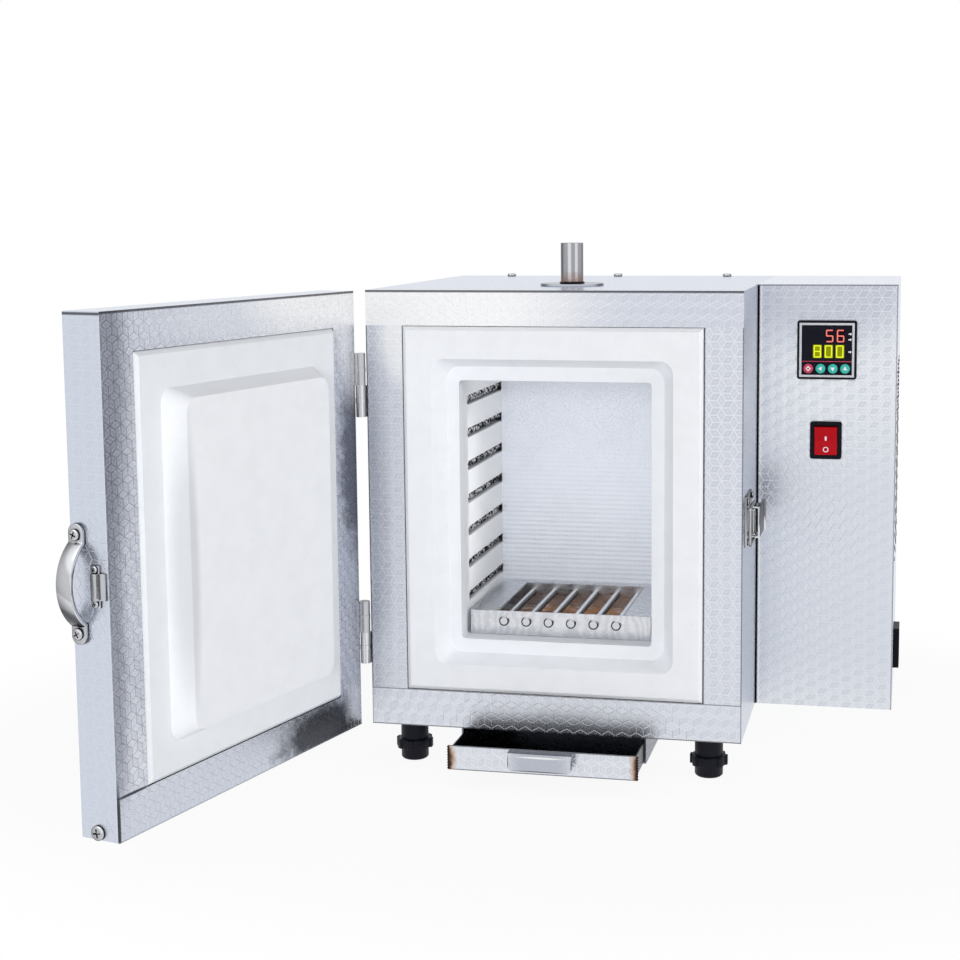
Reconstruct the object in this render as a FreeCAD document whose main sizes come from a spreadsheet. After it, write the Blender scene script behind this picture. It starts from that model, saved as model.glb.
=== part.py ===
import FreeCAD, Part
import math
import os
import re
import Sketcher

# Bench burnout furnace: a steel cabinet with a fibre-lined chamber, a side-hung door,
# a removable rack, a wax drawer underneath and a control box on the right side.
# Frame: X to the right, Y to the rear, Z up. The origin lies on the surface that the
# feet stand on, under the middle of the cabinet's front face. Sizes are millimetres.

SIZES = {
    # Cabinet of folded sheet steel
    "cabinet_width": 300,
    "cabinet_depth": 305,
    "cabinet_height": 353,
    "base_height": 34.5,
    "sheet": 1.5,
    "side_strip": 30,
    "top_strip": 28,
    "bottom_strip": 30.5,
    "rear_flange": 22,
    # Fibre collar around the chamber mouth, with its flared recess
    "collar_gap": 0.5,
    "collar_proud": 2.5,
    "collar_depth": 32.5,
    "collar_bevel": 3,
    "recess_depth": 15,
    "recess_corner": 11,
    "mouth_corner": 3,
    "flare_side": 9,
    "flare_end": 7,
    "ledge_side": 10,
    "ledge_end": 11,
    # Chamber of fibre boards inside mineral wool
    "chamber_width": 155,
    "chamber_height": 210,
    "chamber_back": 157,
    "chamber_floor": 71,
    "muffle_wall": 25,
    "wool_gap": 0.3,
    "wool_rear": 60,
    "drain_bore": 12,
    "drain_wall": 1,
    # Heater wires in the grooves of the side walls
    "groove_first": 29,
    "groove_pitch": 27,
    "groove_height": 8,
    "groove_depth": 9,
    "groove_front": 38,
    "wire_radius": 1.1,
    "strand_gap": 4.6,
    "strand_play": 0.23,
    "wire_inset": 5,
    "terminal_size": 14,
    "terminal_length": 20,
    "terminal_bore": 12.4,
    "tail_gap": 0.4,
    # Temperature probe through the back wall
    "probe_radius": 4,
    "probe_side": 67,
    "probe_rise": 165,
    "probe_reach": 22,
    "probe_head": 26,
    "probe_head_depth": 15.6,
    # Flue through the roof
    "flue_radius": 9.25,
    "flue_wall": 1.2,
    "flue_shoulder": 0.3,
    "flue_back": 88,
    "flue_height": 35,
    "flange_radius": 26,
    "flange_thick": 2,
    # Rack on the chamber floor
    "rack_side_gap": 3.3,
    "rack_front": 30,
    "rack_length": 112,
    "rack_height": 19.5,
    "rack_sheet": 1.5,
    "rack_flange": 22,
    "rack_lift": 0.3,
    "bar_radius": 3,
    "bar_pitch": 18.5,
    "bar_rise": 11.5,
    "bar_nose": 1.5,
    "bar_fit": 0.05,
    # Wax drawer and the channel that it runs in
    "drawer_width": 147,
    "drawer_length": 160,
    "drawer_sheet": 1,
    "drawer_out": 42,
    "drawer_below": 1.2,
    "drawer_front_width": 150.6,
    "drawer_front_height": 19.3,
    "drawer_lip_drop": 2,
    "drawer_play": 0.5,
    "channel_sheet": 1.2,
    "channel_lip": 8,
    "channel_length": 168,
    "tab_width": 50.5,
    "tab_reach": 9,
    "tab_drop": 14.5,
    "tab_corner": 4,
    # Levelling feet
    "foot_inset_side": 28,
    "foot_inset_front": 25,
    "sleeve_radius": 11.25,
    "sleeve_length": 17,
    "sleeve_bore": 6.1,
    "stem_radius": 6,
    "stem_length": 13,
    "ring_radius": 13.6,
    "ring_height": 7.7,
    "lug_reach": 15,
    "lug_width": 5,
    "foot_radius": 11.25,
    "foot_gap": 0.3,
    "foot_bevel": 1.5,
    # Hinges: barrels on a vertical pin ahead of and beside the cabinet's left edge
    "hinge_side": 4.3,
    "hinge_lead": 2.5,
    "barrel_radius": 4,
    "barrel_bead": 4.25,
    "bead_height": 3.6,
    "bead_inset": 11.2,
    "pin_radius": 2.4,
    "pin_fit": 0.05,
    "hinge_height": 51,
    "hinge_upper": 252,
    "hinge_lower": 51,
    "leaf_width": 20,
    "washer_thick": 0.6,
    # Door
    "door_angle": 104,
    "door_thickness": 32.5,
    "door_inset": 0.5,
    "door_edge": 1.2,
    "board_depth": 20,
    "seal_gap": 0.3,
    "plug_gap": 1,
    # Handle on the door's free edge
    "handle_centre": 173.6,
    "handle_length": 81,
    "handle_width": 12,
    "handle_strap": 3,
    "handle_stand": 16.5,
    "handle_bow": 33,
    "handle_out": 25.5,
    "handle_screw_inset": 7.4,
    # Catch on the door's free edge
    "catch_low": 164,
    "catch_height": 18,
    "catch_near": 3.4,
    "catch_width": 11.6,
    "catch_sheet": 1.5,
    "catch_stand": 4.2,
    "catch_hook": 3.2,
    "catch_ear": 5,
    "catch_ear_width": 7,
    # Toggle latch on the cabinet's right side
    "latch_height": 172,
    "latch_front": 18,
    "latch_plate_length": 42,
    "latch_plate_height": 40,
    "latch_sheet": 1.5,
    "ear_half": 10.4,
    "pivot_out": 6,
    "pivot_back": 24,
    "toggle_arm": 12,
    "lever_half": 12.4,
    "lever_length": 39,
    "lever_cheek": 3.6,
    "lever_top": 9.8,
    "lever_nose": 2.2,
    "ear_round": 2.4,
    "bail_half": 14.2,
    "bail_wire": 1.2,
    "bail_bend": 0.36,
    "bail_length": 37,
    "latch_pin": 1.5,
    "latch_fit": 0.08,
    # Screws
    "screw_head": 4,
    "screw_head_height": 2.4,
    "screw_shank": 2,
    "screw_length": 8,
    "screw_fit": 0.1,
    "small_head": 2.6,
    "small_head_height": 1.6,
    "small_shank": 1.25,
    "screw_row_pitch": 102,
    "screw_row_shift": 4,
    "corner_head": 5.2,
    "corner_out": 17.6,
    "corner_rise": 5,
    # Control box on the cabinet's right side
    "control_width": 113,
    "control_front": 117,
    # Temperature controller
    "bezel": 48,
    "bezel_proud": 3,
    "bezel_corner": 2,
    "controller_body": 44.4,
    "controller_depth": 70,
    "controller_drop": 53.3,
    "window_width": 40,
    "window_height": 27,
    "window_shift": 6.5,
    "window_depth": 0.8,
    "button_radius": 3.9,
    "button_pitch": 9.9,
    "button_drop": 15.2,
    "button_proud": 1,
    "button_depth": 2.4,
    "button_gap": 0.25,
    # Mains rocker switch
    "switch_width": 25.6,
    "switch_height": 31,
    "switch_proud": 2,
    "switch_rim": 2,
    "switch_depth": 24,
    "switch_drop": 74.5,
    "rocker_width": 18.2,
    "rocker_height": 23.4,
    "rocker_gap": 0.6,
    "rocker_out": 3.6,
    "rocker_dish": 1.7,
    "rocker_depth": 6,
    "rocker_tilt": 8,
    "rocker_pin": 1,
    # Mains inlet, relay and terminals inside the control box
    "inlet_width": 27,
    "inlet_height": 34,
    "inlet_proud": 5,
    "inlet_rim": 2.5,
    "inlet_back": 173,
    "inlet_rise": 42,
    "inlet_depth": 22,
    "socket_width": 16,
    "socket_height": 24.5,
    "socket_depth": 17,
    "blade_width": 2,
    "blade_height": 4,
    "blade_length": 13,
    "blade_pitch": 7,
    "relay_width": 45,
    "relay_height": 58,
    "relay_depth": 24,
    "relay_rise": 62,
    "sink_base": 4,
    "sink_depth": 16,
    "sink_fin": 1.6,
    "sink_pitch": 7,
    "block_width": 48,
    "block_height": 18,
    "block_depth": 22,
    "block_rise": 24,
    # Vent slots in the control box's side
    "vent_low": 120,
    "vent_pitch": 10.5,
    "vent_front": 146,
    "vent_column": 19,
    "vent_length": 10,
    "vent_height": 3.2,
}

GROOVES = 7
BARS = 6
LUGS = 8
BUTTONS = 4
VENT_ROWS = 16
VENT_COLUMNS = 7
SINK_FINS = 6

# Places that many pieces share, as expressions of the sizes
HALF = "(cabinet_width / 2)"
UNDER = "base_height"
TOP = "(base_height + cabinet_height)"
REAR = "cabinet_depth"
MOUTH_LOW = "(base_height + bottom_strip + collar_gap)"
MOUTH_HIGH = "(base_height + cabinet_height - top_strip - collar_gap)"
MOUTH_HALF = "(cabinet_width / 2 - side_strip - collar_gap)"
COLLAR_BACK = "(collar_depth - collar_proud)"
FLOOR = "(base_height + chamber_floor)"
ROOF = "(base_height + chamber_floor + chamber_height)"
WALL = "(chamber_width / 2)"
MUFFLE_HALF = "(chamber_width / 2 + muffle_wall)"
MUFFLE_BACK = "(chamber_back + muffle_wall)"
WOOL_BACK = "(cabinet_depth - wool_rear)"
DOOR_NEAR = "hinge_side"
DOOR_FAR = "(hinge_side + cabinet_width)"
DOOR_MIDDLE = "(hinge_side + cabinet_width / 2)"
DOOR_INNER = "(0 - hinge_lead)"
DOOR_OUTER = "(0 - hinge_lead - door_thickness)"
DOOR_LOW = "(base_height + door_inset)"
DOOR_HIGH = "(base_height + cabinet_height - door_inset)"
CONTROL_RIGHT = "(cabinet_width / 2 + control_width)"
CONTROL_MIDDLE = "(cabinet_width / 2 + control_width / 2)"
FOOT_X = "(cabinet_width / 2 - foot_inset_side)"

X_AXIS = FreeCAD.Vector(1, 0, 0)
Y_AXIS = FreeCAD.Vector(0, 1, 0)
Z_AXIS = FreeCAD.Vector(0, 0, 1)

doc = FreeCAD.newDocument("burnout_furnace")
sheet = doc.addObject("Spreadsheet::Sheet", "Dims")
parts = []


def fill_sheet():
    """Write every driving size into the sheet as a plain number with an alias."""
    for row, (alias, size) in enumerate(SIZES.items(), start=1):
        sheet.set(f"A{row}", alias)
        sheet.set(f"B{row}", str(size))
        sheet.setAlias(f"B{row}", alias)
    doc.recompute()


def bound(text):
    """Turn the size names in an expression into references to the sheet."""
    return re.sub(r"[a-z_]+", lambda word: "Dims." + word.group(0), str(text))


def value(text):
    """Work an expression out as a number."""
    return float(sheet.evalExpression(bound(text)))


def bind(thing, prop, text):
    thing.setExpression(prop, bound(text))


def place(thing, x=0, y=0, z=0):
    """Tie a thing's base point to three expressions."""
    for name, text in zip("xyz", (x, y, z)):
        bind(thing, f"Placement.Base.{name}", text)
    return thing


def block(name, x, y, z):
    """A box between a low and a high expression on each axis."""
    box = doc.addObject("Part::Box", name)
    for prop, (low, high) in zip(("Length", "Width", "Height"), (x, y, z)):
        bind(box, prop, f"({high}) - ({low})")
    return place(box, x[0], y[0], z[0])


def about(middle, size):
    """The span of a size that is centred on a place."""
    return (f"{middle} - ({size}) / 2", f"{middle} + ({size}) / 2")


def rod(name, axis, centre, span, radius):
    """A cylinder along an axis; centre gives the other two coordinates in order."""
    turns = {"x": ((0, 1, 0), 90), "y": ((1, 0, 0), -90), "z": ((0, 0, 1), 0)}
    cylinder = doc.addObject("Part::Cylinder", name)
    direction, angle = turns[axis]
    cylinder.Placement.Rotation = FreeCAD.Rotation(FreeCAD.Vector(*direction), angle)
    bind(cylinder, "Radius", radius)
    bind(cylinder, "Height", f"({span[1]}) - ({span[0]})")
    spot = list(centre)
    spot.insert("xyz".index(axis), span[0])
    return place(cylinder, *spot)


def joined(name, *pieces):
    """One solid from several that touch or overlap."""
    fuse = doc.addObject("Part::MultiFuse", name)
    fuse.Shapes = list(pieces)
    fuse.Refine = True
    return fuse


def gathered(name, *pieces):
    """Separate solids that share a node."""
    compound = doc.addObject("Part::Compound", name)
    compound.Links = list(pieces)
    return compound


def cut(name, base, *tools):
    """A base with one or more tools taken out of it."""
    result = doc.addObject("Part::Cut", name)
    result.Base = base
    result.Tool = tools[0] if len(tools) == 1 else joined(name + "_tools", *tools)
    return result


def mirrored(name, source):
    """The mirror image of a piece on the cabinet's middle plane."""
    mirror = doc.addObject("Part::Mirroring", name)
    mirror.Source = source
    mirror.Normal = FreeCAD.Vector(1, 0, 0)
    return mirror


def keep(label, piece):
    """Give a finished sub-part its own name and list it for writing."""
    piece.Label = label
    if piece.Label != label:
        raise RuntimeError(f"the name {label} is taken")
    parts.append(piece)
    return piece


def hang(piece):
    """Turn a piece drawn on the closed door to where the open door stands."""
    bind(piece, "Placement.Base.x", f"0 - {HALF} - hinge_side")
    bind(piece, "Placement.Base.y", "0 - hinge_lead")
    bind(piece, "Placement.Rotation.Angle", "0 - door_angle")
    return piece


def new_body(name):
    return doc.addObject("PartDesign::Body", name)


def sketch_on(body, role, offset, name):
    """An empty sketch on one of a body's origin planes, moved along its normal."""
    plane = next(item for item in body.Origin.OriginFeatures if item.Role == role)
    sketch = body.newObject("Sketcher::SketchObject", name)
    sketch.AttachmentSupport = (plane, [""])
    sketch.MapMode = "FlatFace"
    bind(sketch, "AttachmentOffset.Base.z", offset)
    return sketch


def draw(sketch, points):
    """A closed outline of straight lines whose corners are tied to expressions."""
    spots = [FreeCAD.Vector(value(a), value(b), 0) for a, b in points]
    for start, end in zip(spots, spots[1:] + spots[:1]):
        sketch.addGeometry(Part.LineSegment(start, end))
    for line, (a, b) in enumerate(points):
        before = (line - 1) % len(points)
        sketch.addConstraint(Sketcher.Constraint("Coincident", before, 2, line, 1))
        for kind, size in (("DistanceX", a), ("DistanceY", b)):
            corner = Sketcher.Constraint(kind, -1, 1, line, 1, value(size))
            sketch.setExpression(f"Constraints[{sketch.addConstraint(corner)}]", bound(size))
    return sketch


def draw_rounded(sketch, low_a, high_a, low_b, high_b, radius):
    """A rectangle with quarter arcs at its corners, tied to expressions."""
    inner_a = (f"({low_a}) + ({radius})", f"({high_a}) - ({radius})")
    inner_b = (f"({low_b}) + ({radius})", f"({high_b}) - ({radius})")
    centres = [(inner_a[1], inner_b[0]), (inner_a[1], inner_b[1]),
               (inner_a[0], inner_b[1]), (inner_a[0], inner_b[0])]
    reach = value(radius)
    ends = []
    for corner, (a, b) in enumerate(centres):
        centre = FreeCAD.Vector(value(a), value(b), 0)
        first = math.radians(90 * corner - 90)
        circle = Part.Circle(centre, Z_AXIS, reach)
        sketch.addGeometry(Part.ArcOfCircle(circle, first, first + math.pi / 2))
        for kind, size in (("DistanceX", a), ("DistanceY", b)):
            spot = Sketcher.Constraint(kind, -1, 1, corner, 3, value(size))
            sketch.setExpression(f"Constraints[{sketch.addConstraint(spot)}]", bound(size))
        size = sketch.addConstraint(Sketcher.Constraint("Radius", corner, reach))
        sketch.setExpression(f"Constraints[{size}]", bound(radius))
        ends.append([centre + FreeCAD.Vector(math.cos(turn), math.sin(turn), 0) * reach
                     for turn in (first, first + math.pi / 2)])
    for corner in range(4):
        following = (corner + 1) % 4
        line = sketch.addGeometry(Part.LineSegment(ends[corner][1], ends[following][0]))
        sketch.addConstraint(Sketcher.Constraint("Tangent", corner, 2, line, 1))
        sketch.addConstraint(Sketcher.Constraint("Tangent", line, 2, following, 1))
    return sketch


def rectangle(low_a, high_a, low_b, high_b):
    return [(low_a, low_b), (high_a, low_b), (high_a, high_b), (low_a, high_b)]


def pad(body, sketch, length):
    feature = body.newObject("PartDesign::Pad", body.Name + "_pad")
    feature.Profile = sketch
    bind(feature, "Length", length)
    doc.recompute()
    return feature


def prism(name, role, outline, span):
    """A body with one outline padded between two expressions along the normal."""
    body = new_body(name)
    low = f"0 - ({span[1]})" if role == "XZ_Plane" else span[0]
    sketch = draw(sketch_on(body, role, low, name + "_sketch"), outline)
    pad(body, sketch, f"({span[1]}) - ({span[0]})")
    return body


def edges_of(shape, chosen):
    """Names of the edges for which the test holds."""
    return [f"Edge{number}" for number, edge in enumerate(shape.Edges, start=1) if chosen(edge)]


def along(edge, axis):
    """Whether an edge is straight and runs along an axis."""
    if edge.Curve.TypeId != "Part::GeomLine":
        return False
    return abs(abs(edge.Curve.Direction.dot(axis)) - 1) < 1e-6


def soften(body, kind, prop, size, chosen):
    """A fillet or chamfer on the chosen edges of a body's last feature."""
    base = body.Tip
    feature = body.newObject(f"PartDesign::{kind}", f"{body.Name}_{kind.lower()}")
    feature.Base = (base, edges_of(base.Shape, chosen))
    bind(feature, prop, size)
    doc.recompute()
    return feature


# Cabinet
def cabinet_shell():
    """Left side, roof and right side folded from one sheet, open front, rear and below."""
    outer = block("shell_outer", (f"0 - {HALF}", HALF), ("sheet", f"{REAR} - sheet"), (UNDER, TOP))
    inner = block(
        "shell_inner",
        (f"sheet - {HALF}", f"{HALF} - sheet"),
        ("0", REAR),
        (f"{UNDER} - sheet", f"{TOP} - sheet"),
    )
    flue_hole = rod("shell_flue_hole", "z", ("0", "flue_back"),
                    (f"{TOP} - 2 * sheet", f"{TOP} + sheet"), "flue_radius + screw_fit")
    holes = [
        rod(f"shell_screw_hole_{n}", "z", (screw_row(n), screw_row_back()),
            (f"{TOP} - 2 * sheet", f"{TOP} + sheet"), "screw_shank + screw_fit")
        for n in range(3)
    ]
    keep("cabinet_shell", cut("cabinet_shell", outer, inner, flue_hole, *holes))


def screw_row(n):
    """X of one of the three screws across the rear of the roof."""
    return f"screw_row_shift + screw_row_pitch * {n - 1}"


def screw_row_back():
    """Y of the screws, in the middle of the rear cover's flange."""
    return f"{REAR} - sheet - rear_flange / 2 - sheet * 2"


def front_strips():
    """Four polished strips that frame the mouth, the sides between top and bottom."""
    low = f"{UNDER} + bottom_strip"
    high = f"{TOP} - top_strip"
    inside = f"{HALF} - side_strip"
    depth = ("0", "sheet")
    keep("front_strip_top", block("strip_top", (f"0 - {HALF}", HALF), depth, (high, TOP)))
    keep("front_strip_bottom", block("strip_bottom", (f"0 - {HALF}", HALF), depth, (UNDER, low)))
    left = block("strip_left", (f"0 - {HALF}", f"0 - ({inside})"), depth, (low, high))
    right = block("strip_right", (inside, HALF), depth, (low, high))
    keep("front_strips_side", gathered("strips_side", left, right))


def base_plate():
    """Floor sheet of the cabinet, with the drain's hole."""
    plate = block("base_sheet", (f"sheet - {HALF}", f"{HALF} - sheet"),
                  ("sheet", f"{REAR} - sheet"), (UNDER, f"{UNDER} + sheet"))
    hole = rod("base_hole", "z", ("0", "chamber_back / 2"),
               (f"{UNDER} - sheet", f"{UNDER} + 2 * sheet"), "drain_bore / 2 + drain_wall")
    keep("base_plate", cut("base_plate", plate, hole))


def rear_cover():
    """Rear sheet with a flange folded forward under the roof."""
    plate = block("rear_sheet", (f"0 - {HALF}", HALF), (f"{REAR} - sheet", REAR), (UNDER, TOP))
    flange = block("rear_flange_sheet", (f"sheet * 2 - {HALF}", f"{HALF} - sheet * 2"),
                   (f"{REAR} - sheet - rear_flange", f"{REAR} - sheet"),
                   (f"{TOP} - 2 * sheet", f"{TOP} - sheet"))
    holes = [
        rod(f"rear_screw_hole_{n}", "z", (screw_row(n), screw_row_back()),
            (f"{TOP} - 3 * sheet", f"{TOP} - sheet / 2"), "screw_shank + screw_fit")
        for n in range(3)
    ]
    keep("rear_cover", cut("rear_cover", joined("rear_folded", plate, flange), *holes))


def pan_screw(name, axis, centre, seat, inward, head, head_height, shank, length):
    """A pan-head screw; seat is the face under its head, inward the sign of its shank."""
    if inward < 0:
        head_span = (seat, f"{seat} + {head_height}")
        shank_span = (f"{seat} - ({length})", seat)
    else:
        head_span = (f"{seat} - {head_height}", seat)
        shank_span = (seat, f"{seat} + ({length})")
    cap = rod(name + "_head", axis, centre, head_span, head)
    stem = rod(name + "_stem", axis, centre, shank_span, shank)
    return joined(name, cap, stem)


def roof_screws():
    """Three pan-head screws through the roof into the rear cover's flange."""
    screws = [
        pan_screw(f"roof_screw_{n}", "z", (screw_row(n), screw_row_back()), TOP, -1,
                  "screw_head", "screw_head_height", "screw_shank", "screw_length")
        for n in range(3)
    ]
    keep("roof_screws", gathered("roof_screws", *screws))


# Chamber
def front_collar():
    """Fibre collar: a flared, rounded recess for the door's plug, then the opening."""
    body = prism("collar", "XZ_Plane",
                 rectangle(f"0 - {MOUTH_HALF}", MOUTH_HALF, MOUTH_LOW, MOUTH_HIGH),
                 ("0 - collar_proud", COLLAR_BACK))
    soften(body, "Chamfer", "Size", "collar_bevel",
           lambda edge: edge.BoundBox.YMax < 0 and not along(edge, Y_AXIS))
    recess = body.newObject("PartDesign::SubtractiveLoft", "collar_recess")
    faces = []
    for name, depth, flare in (("face", "0 - collar_proud", 1), ("ledge", "recess_depth - collar_proud", 0)):
        side = f"({WALL} + ledge_side + flare_side * {flare})"
        low = f"{FLOOR} - ledge_end - flare_end * {flare}"
        high = f"{ROOF} + ledge_end + flare_end * {flare}"
        sketch = sketch_on(body, "XZ_Plane", f"0 - ({depth})", f"collar_{name}")
        faces.append(draw_rounded(sketch, f"0 - {side}", side, low, high, "recess_corner"))
    recess.Profile = faces[0]
    recess.Sections = [faces[1]]
    recess.Ruled = True
    doc.recompute()
    opening = draw(sketch_on(body, "XZ_Plane", "0", "collar_opening"),
                   rectangle(f"0 - {WALL}", WALL, FLOOR, ROOF))
    pocket = body.newObject("PartDesign::Pocket", "collar_pocket")
    pocket.Profile = opening
    pocket.Type = "ThroughAll"
    pocket.Midplane = True
    doc.recompute()
    soften(body, "Fillet", "Radius", "mouth_corner",
           lambda edge: along(edge, Y_AXIS) and abs(abs(edge.BoundBox.XMin) - value(WALL)) < 1e-4)
    keep("front_collar", body)


def groove_height_of(row):
    """Height of a groove's middle line above the frame's origin."""
    return f"({FLOOR} + groove_first + groove_pitch * {row})"


def muffle_walls():
    """Side walls of the chamber, each with a row of heater grooves open to the rear."""
    depth = (COLLAR_BACK, MUFFLE_BACK)
    wall = block("wall_slab", (f"0 - {MUFFLE_HALF}", f"0 - {WALL}"), depth,
                 (f"{FLOOR} - muffle_wall", f"{ROOF} + muffle_wall"))
    grooves = []
    for row in range(GROOVES):
        middle = groove_height_of(row)
        reach = (f"0 - {WALL} - groove_depth", f"1 - {WALL}")
        nose = "groove_front + groove_height / 2"
        grooves.append(block(f"groove_{row}", reach, (nose, f"{MUFFLE_BACK} + 1"),
                             (f"{middle} - groove_height / 2", f"{middle} + groove_height / 2")))
        grooves.append(rod(f"groove_nose_{row}", "x", (nose, middle), reach, "groove_height / 2"))
    left = cut("wall_left", wall, *grooves)
    keep("muffle_side_walls", gathered("side_walls", left, mirrored("wall_right", left)))


def muffle_boards():
    """Roof, floor and back boards of the chamber, between the side walls."""
    across = (f"0 - {WALL}", WALL)
    depth = (COLLAR_BACK, MUFFLE_BACK)
    roof = block("roof_slab", across, depth, (ROOF, f"{ROOF} + muffle_wall"))
    flue_hole = rod("roof_flue_hole", "z", ("0", "flue_back"),
                    (f"{ROOF} - 1", f"{ROOF} + muffle_wall + 1"), "flue_radius + screw_fit")
    keep("muffle_roof", cut("roof_board", roof, flue_hole))
    floor = block("floor_slab", across, depth, (f"{FLOOR} - muffle_wall", FLOOR))
    drain_hole = rod("floor_drain_hole", "z", ("0", "chamber_back / 2"),
                     (f"{FLOOR} - muffle_wall - 1", f"{FLOOR} + 1"), "drain_bore / 2 + drain_wall")
    keep("muffle_floor", cut("floor_board", floor, drain_hole))
    back = block("back_slab", across, ("chamber_back", MUFFLE_BACK), (FLOOR, ROOF))
    probe_hole = rod("back_probe_hole", "y", ("probe_side", f"{FLOOR} + probe_rise"),
                     ("chamber_back - 1", f"{MUFFLE_BACK} + 1"), "probe_radius + screw_fit")
    keep("muffle_back", cut("back_board", back, probe_hole))


def wire_ends():
    """Heights of the two heater tails on each side."""
    return [f"{groove_height_of(0)} - strand_gap / 2", f"{groove_height_of(GROOVES - 1)} + strand_gap / 2"]


def wire_side():
    """Distance of the heater wire from the middle plane."""
    return f"({WALL} + wire_inset)"


def insulation():
    """Mineral wool that fills the space between the chamber boards and the cabinet."""
    gap = "wool_gap"
    outer = block("wool_outer", (f"sheet + {gap} - {HALF}", f"{HALF} - sheet - {gap}"),
                  (f"sheet + {gap}", WOOL_BACK), (f"{UNDER} + sheet", f"{TOP} - 2 * sheet - {gap}"))
    collar_room = block("wool_collar_room", (f"0 - {MOUTH_HALF} - {gap}", f"{MOUTH_HALF} + {gap}"),
                        ("0", f"{COLLAR_BACK}"), (f"{MOUTH_LOW} - {gap}", f"{MOUTH_HIGH} + {gap}"))
    muffle_room = block("wool_muffle_room", (f"0 - {MUFFLE_HALF}", MUFFLE_HALF),
                        (f"{COLLAR_BACK} - 1", f"{MUFFLE_BACK} + terminal_size"),
                        (f"{FLOOR} - muffle_wall", f"{ROOF} + muffle_wall"))
    flue_hole = rod("wool_flue_hole", "z", ("0", "flue_back"), (ROOF, TOP), "flue_radius + wool_gap")
    drain_hole = rod("wool_drain_hole", "z", ("0", "chamber_back / 2"), (f"{UNDER} - 1", FLOOR),
                     "drain_bore / 2 + drain_wall + wool_gap")
    probe_hole = rod("wool_probe_hole", "y", ("probe_side", f"{FLOOR} + probe_rise"),
                     (MUFFLE_BACK, f"{WOOL_BACK} + 1"), "probe_radius + wool_gap")
    tails = [
        rod(f"wool_tail_hole_{side}_{end}", "y", (f"{sign} * {wire_side()}", height),
            (MUFFLE_BACK, f"{WOOL_BACK} + 1"), "wire_radius + wool_gap")
        for side, sign in (("left", -1), ("right", 1))
        for end, height in enumerate(wire_ends())
    ]
    keep("wool_blanket", cut("wool_blanket", outer, collar_room, muffle_room, flue_hole,
                             drain_hole, probe_hole, *tails))


def wire_path():
    """Corners of one heater: a hairpin in each groove, linked behind the side wall."""
    side = -value(wire_side())
    half = value("strand_gap / 2")
    front = value("groove_front + groove_height / 2")
    behind = value(f"{MUFFLE_BACK} + terminal_size / 2")
    tail = value(f"{WOOL_BACK} + terminal_bore - tail_gap")
    corners = [(side, tail, value(groove_height_of(0)) - half)]
    for row in range(GROOVES):
        middle = value(groove_height_of(row))
        corners += [(side, front, middle - half), (side, front, middle + half)]
        if row < GROOVES - 1:
            above = value(groove_height_of(row + 1))
            corners += [(side, behind, middle + half), (side, behind, above - half)]
    corners.append((side, tail, value(groove_height_of(GROOVES - 1)) + half))
    return [FreeCAD.Vector(*corner) for corner in corners]


def swept_wire(corners, radius, bend):
    """A round wire along straight runs joined by tangent quarter turns."""
    edges = []
    start = corners[0]
    for before, corner, after in zip(corners, corners[1:], corners[2:]):
        into = (corner - before).normalize()
        out = (after - corner).normalize()
        enter = corner - into * bend
        leave = corner + out * bend
        middle = corner + (out - into).normalize() * (bend * (2 ** 0.5 - 1))
        edges.append(Part.makeLine(start, enter))
        edges.append(Part.Arc(enter, middle, leave).toShape())
        start = leave
    edges.append(Part.makeLine(start, corners[-1]))
    section = Part.Wire(Part.makeCircle(radius, corners[0], corners[1] - corners[0]))
    return Part.Wire(edges).makePipeShell([section], True, False)


def heater_wires():
    """Resistance wire on each side, one continuous length through all the grooves."""
    wire = doc.addObject("Part::Feature", "heater_wire")
    wire.Shape = swept_wire(wire_path(), value("wire_radius"), value("strand_gap / 2 - strand_play"))
    keep("heater_wires", gathered("heater_wire_pair", wire, mirrored("heater_wire_mirror", wire)))


def heater_terminals():
    """Ceramic terminal on each heater tail, seated on the wool's rear face."""
    blocks = []
    for side, sign in (("left", -1), ("right", 1)):
        for end, height in enumerate(wire_ends()):
            name = f"terminal_{side}_{end}"
            middle = f"{sign} * {wire_side()}"
            body = block(name + "_body", about(middle, "terminal_size"),
                         (WOOL_BACK, f"{WOOL_BACK} + terminal_length"), about(height, "terminal_size"))
            bore = rod(name + "_bore", "y", (middle, height),
                       (f"{WOOL_BACK} - 1", f"{WOOL_BACK} + terminal_bore"), "wire_radius + pin_fit")
            blocks.append(cut(name, body, bore))
    keep("heater_terminals", gathered("heater_terminals", *blocks))


def probe():
    """Ceramic probe through the back wall, and its connection head behind the wool."""
    centre = ("probe_side", f"{FLOOR} + probe_rise")
    sheath = rod("probe_sheath", "y", centre, ("chamber_back - probe_reach", WOOL_BACK), "probe_radius")
    head = block("probe_head", about(centre[0], "probe_head"),
                 (WOOL_BACK, f"{WOOL_BACK} + probe_head_depth"), about(centre[1], "probe_head"))
    keep("thermocouple", gathered("probe", sheath, head))


def drain_tube():
    """Steel tube that leads wax from the chamber floor to the drawer."""
    centre = ("0", "chamber_back / 2")
    outer = rod("drain_outer", "z", centre, (UNDER, FLOOR), "drain_bore / 2 + drain_wall")
    bore = rod("drain_inner", "z", centre, (f"{UNDER} - 1", f"{FLOOR} + 1"), "drain_bore / 2")
    keep("drain_tube", cut("drain_tube", outer, bore))


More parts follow.
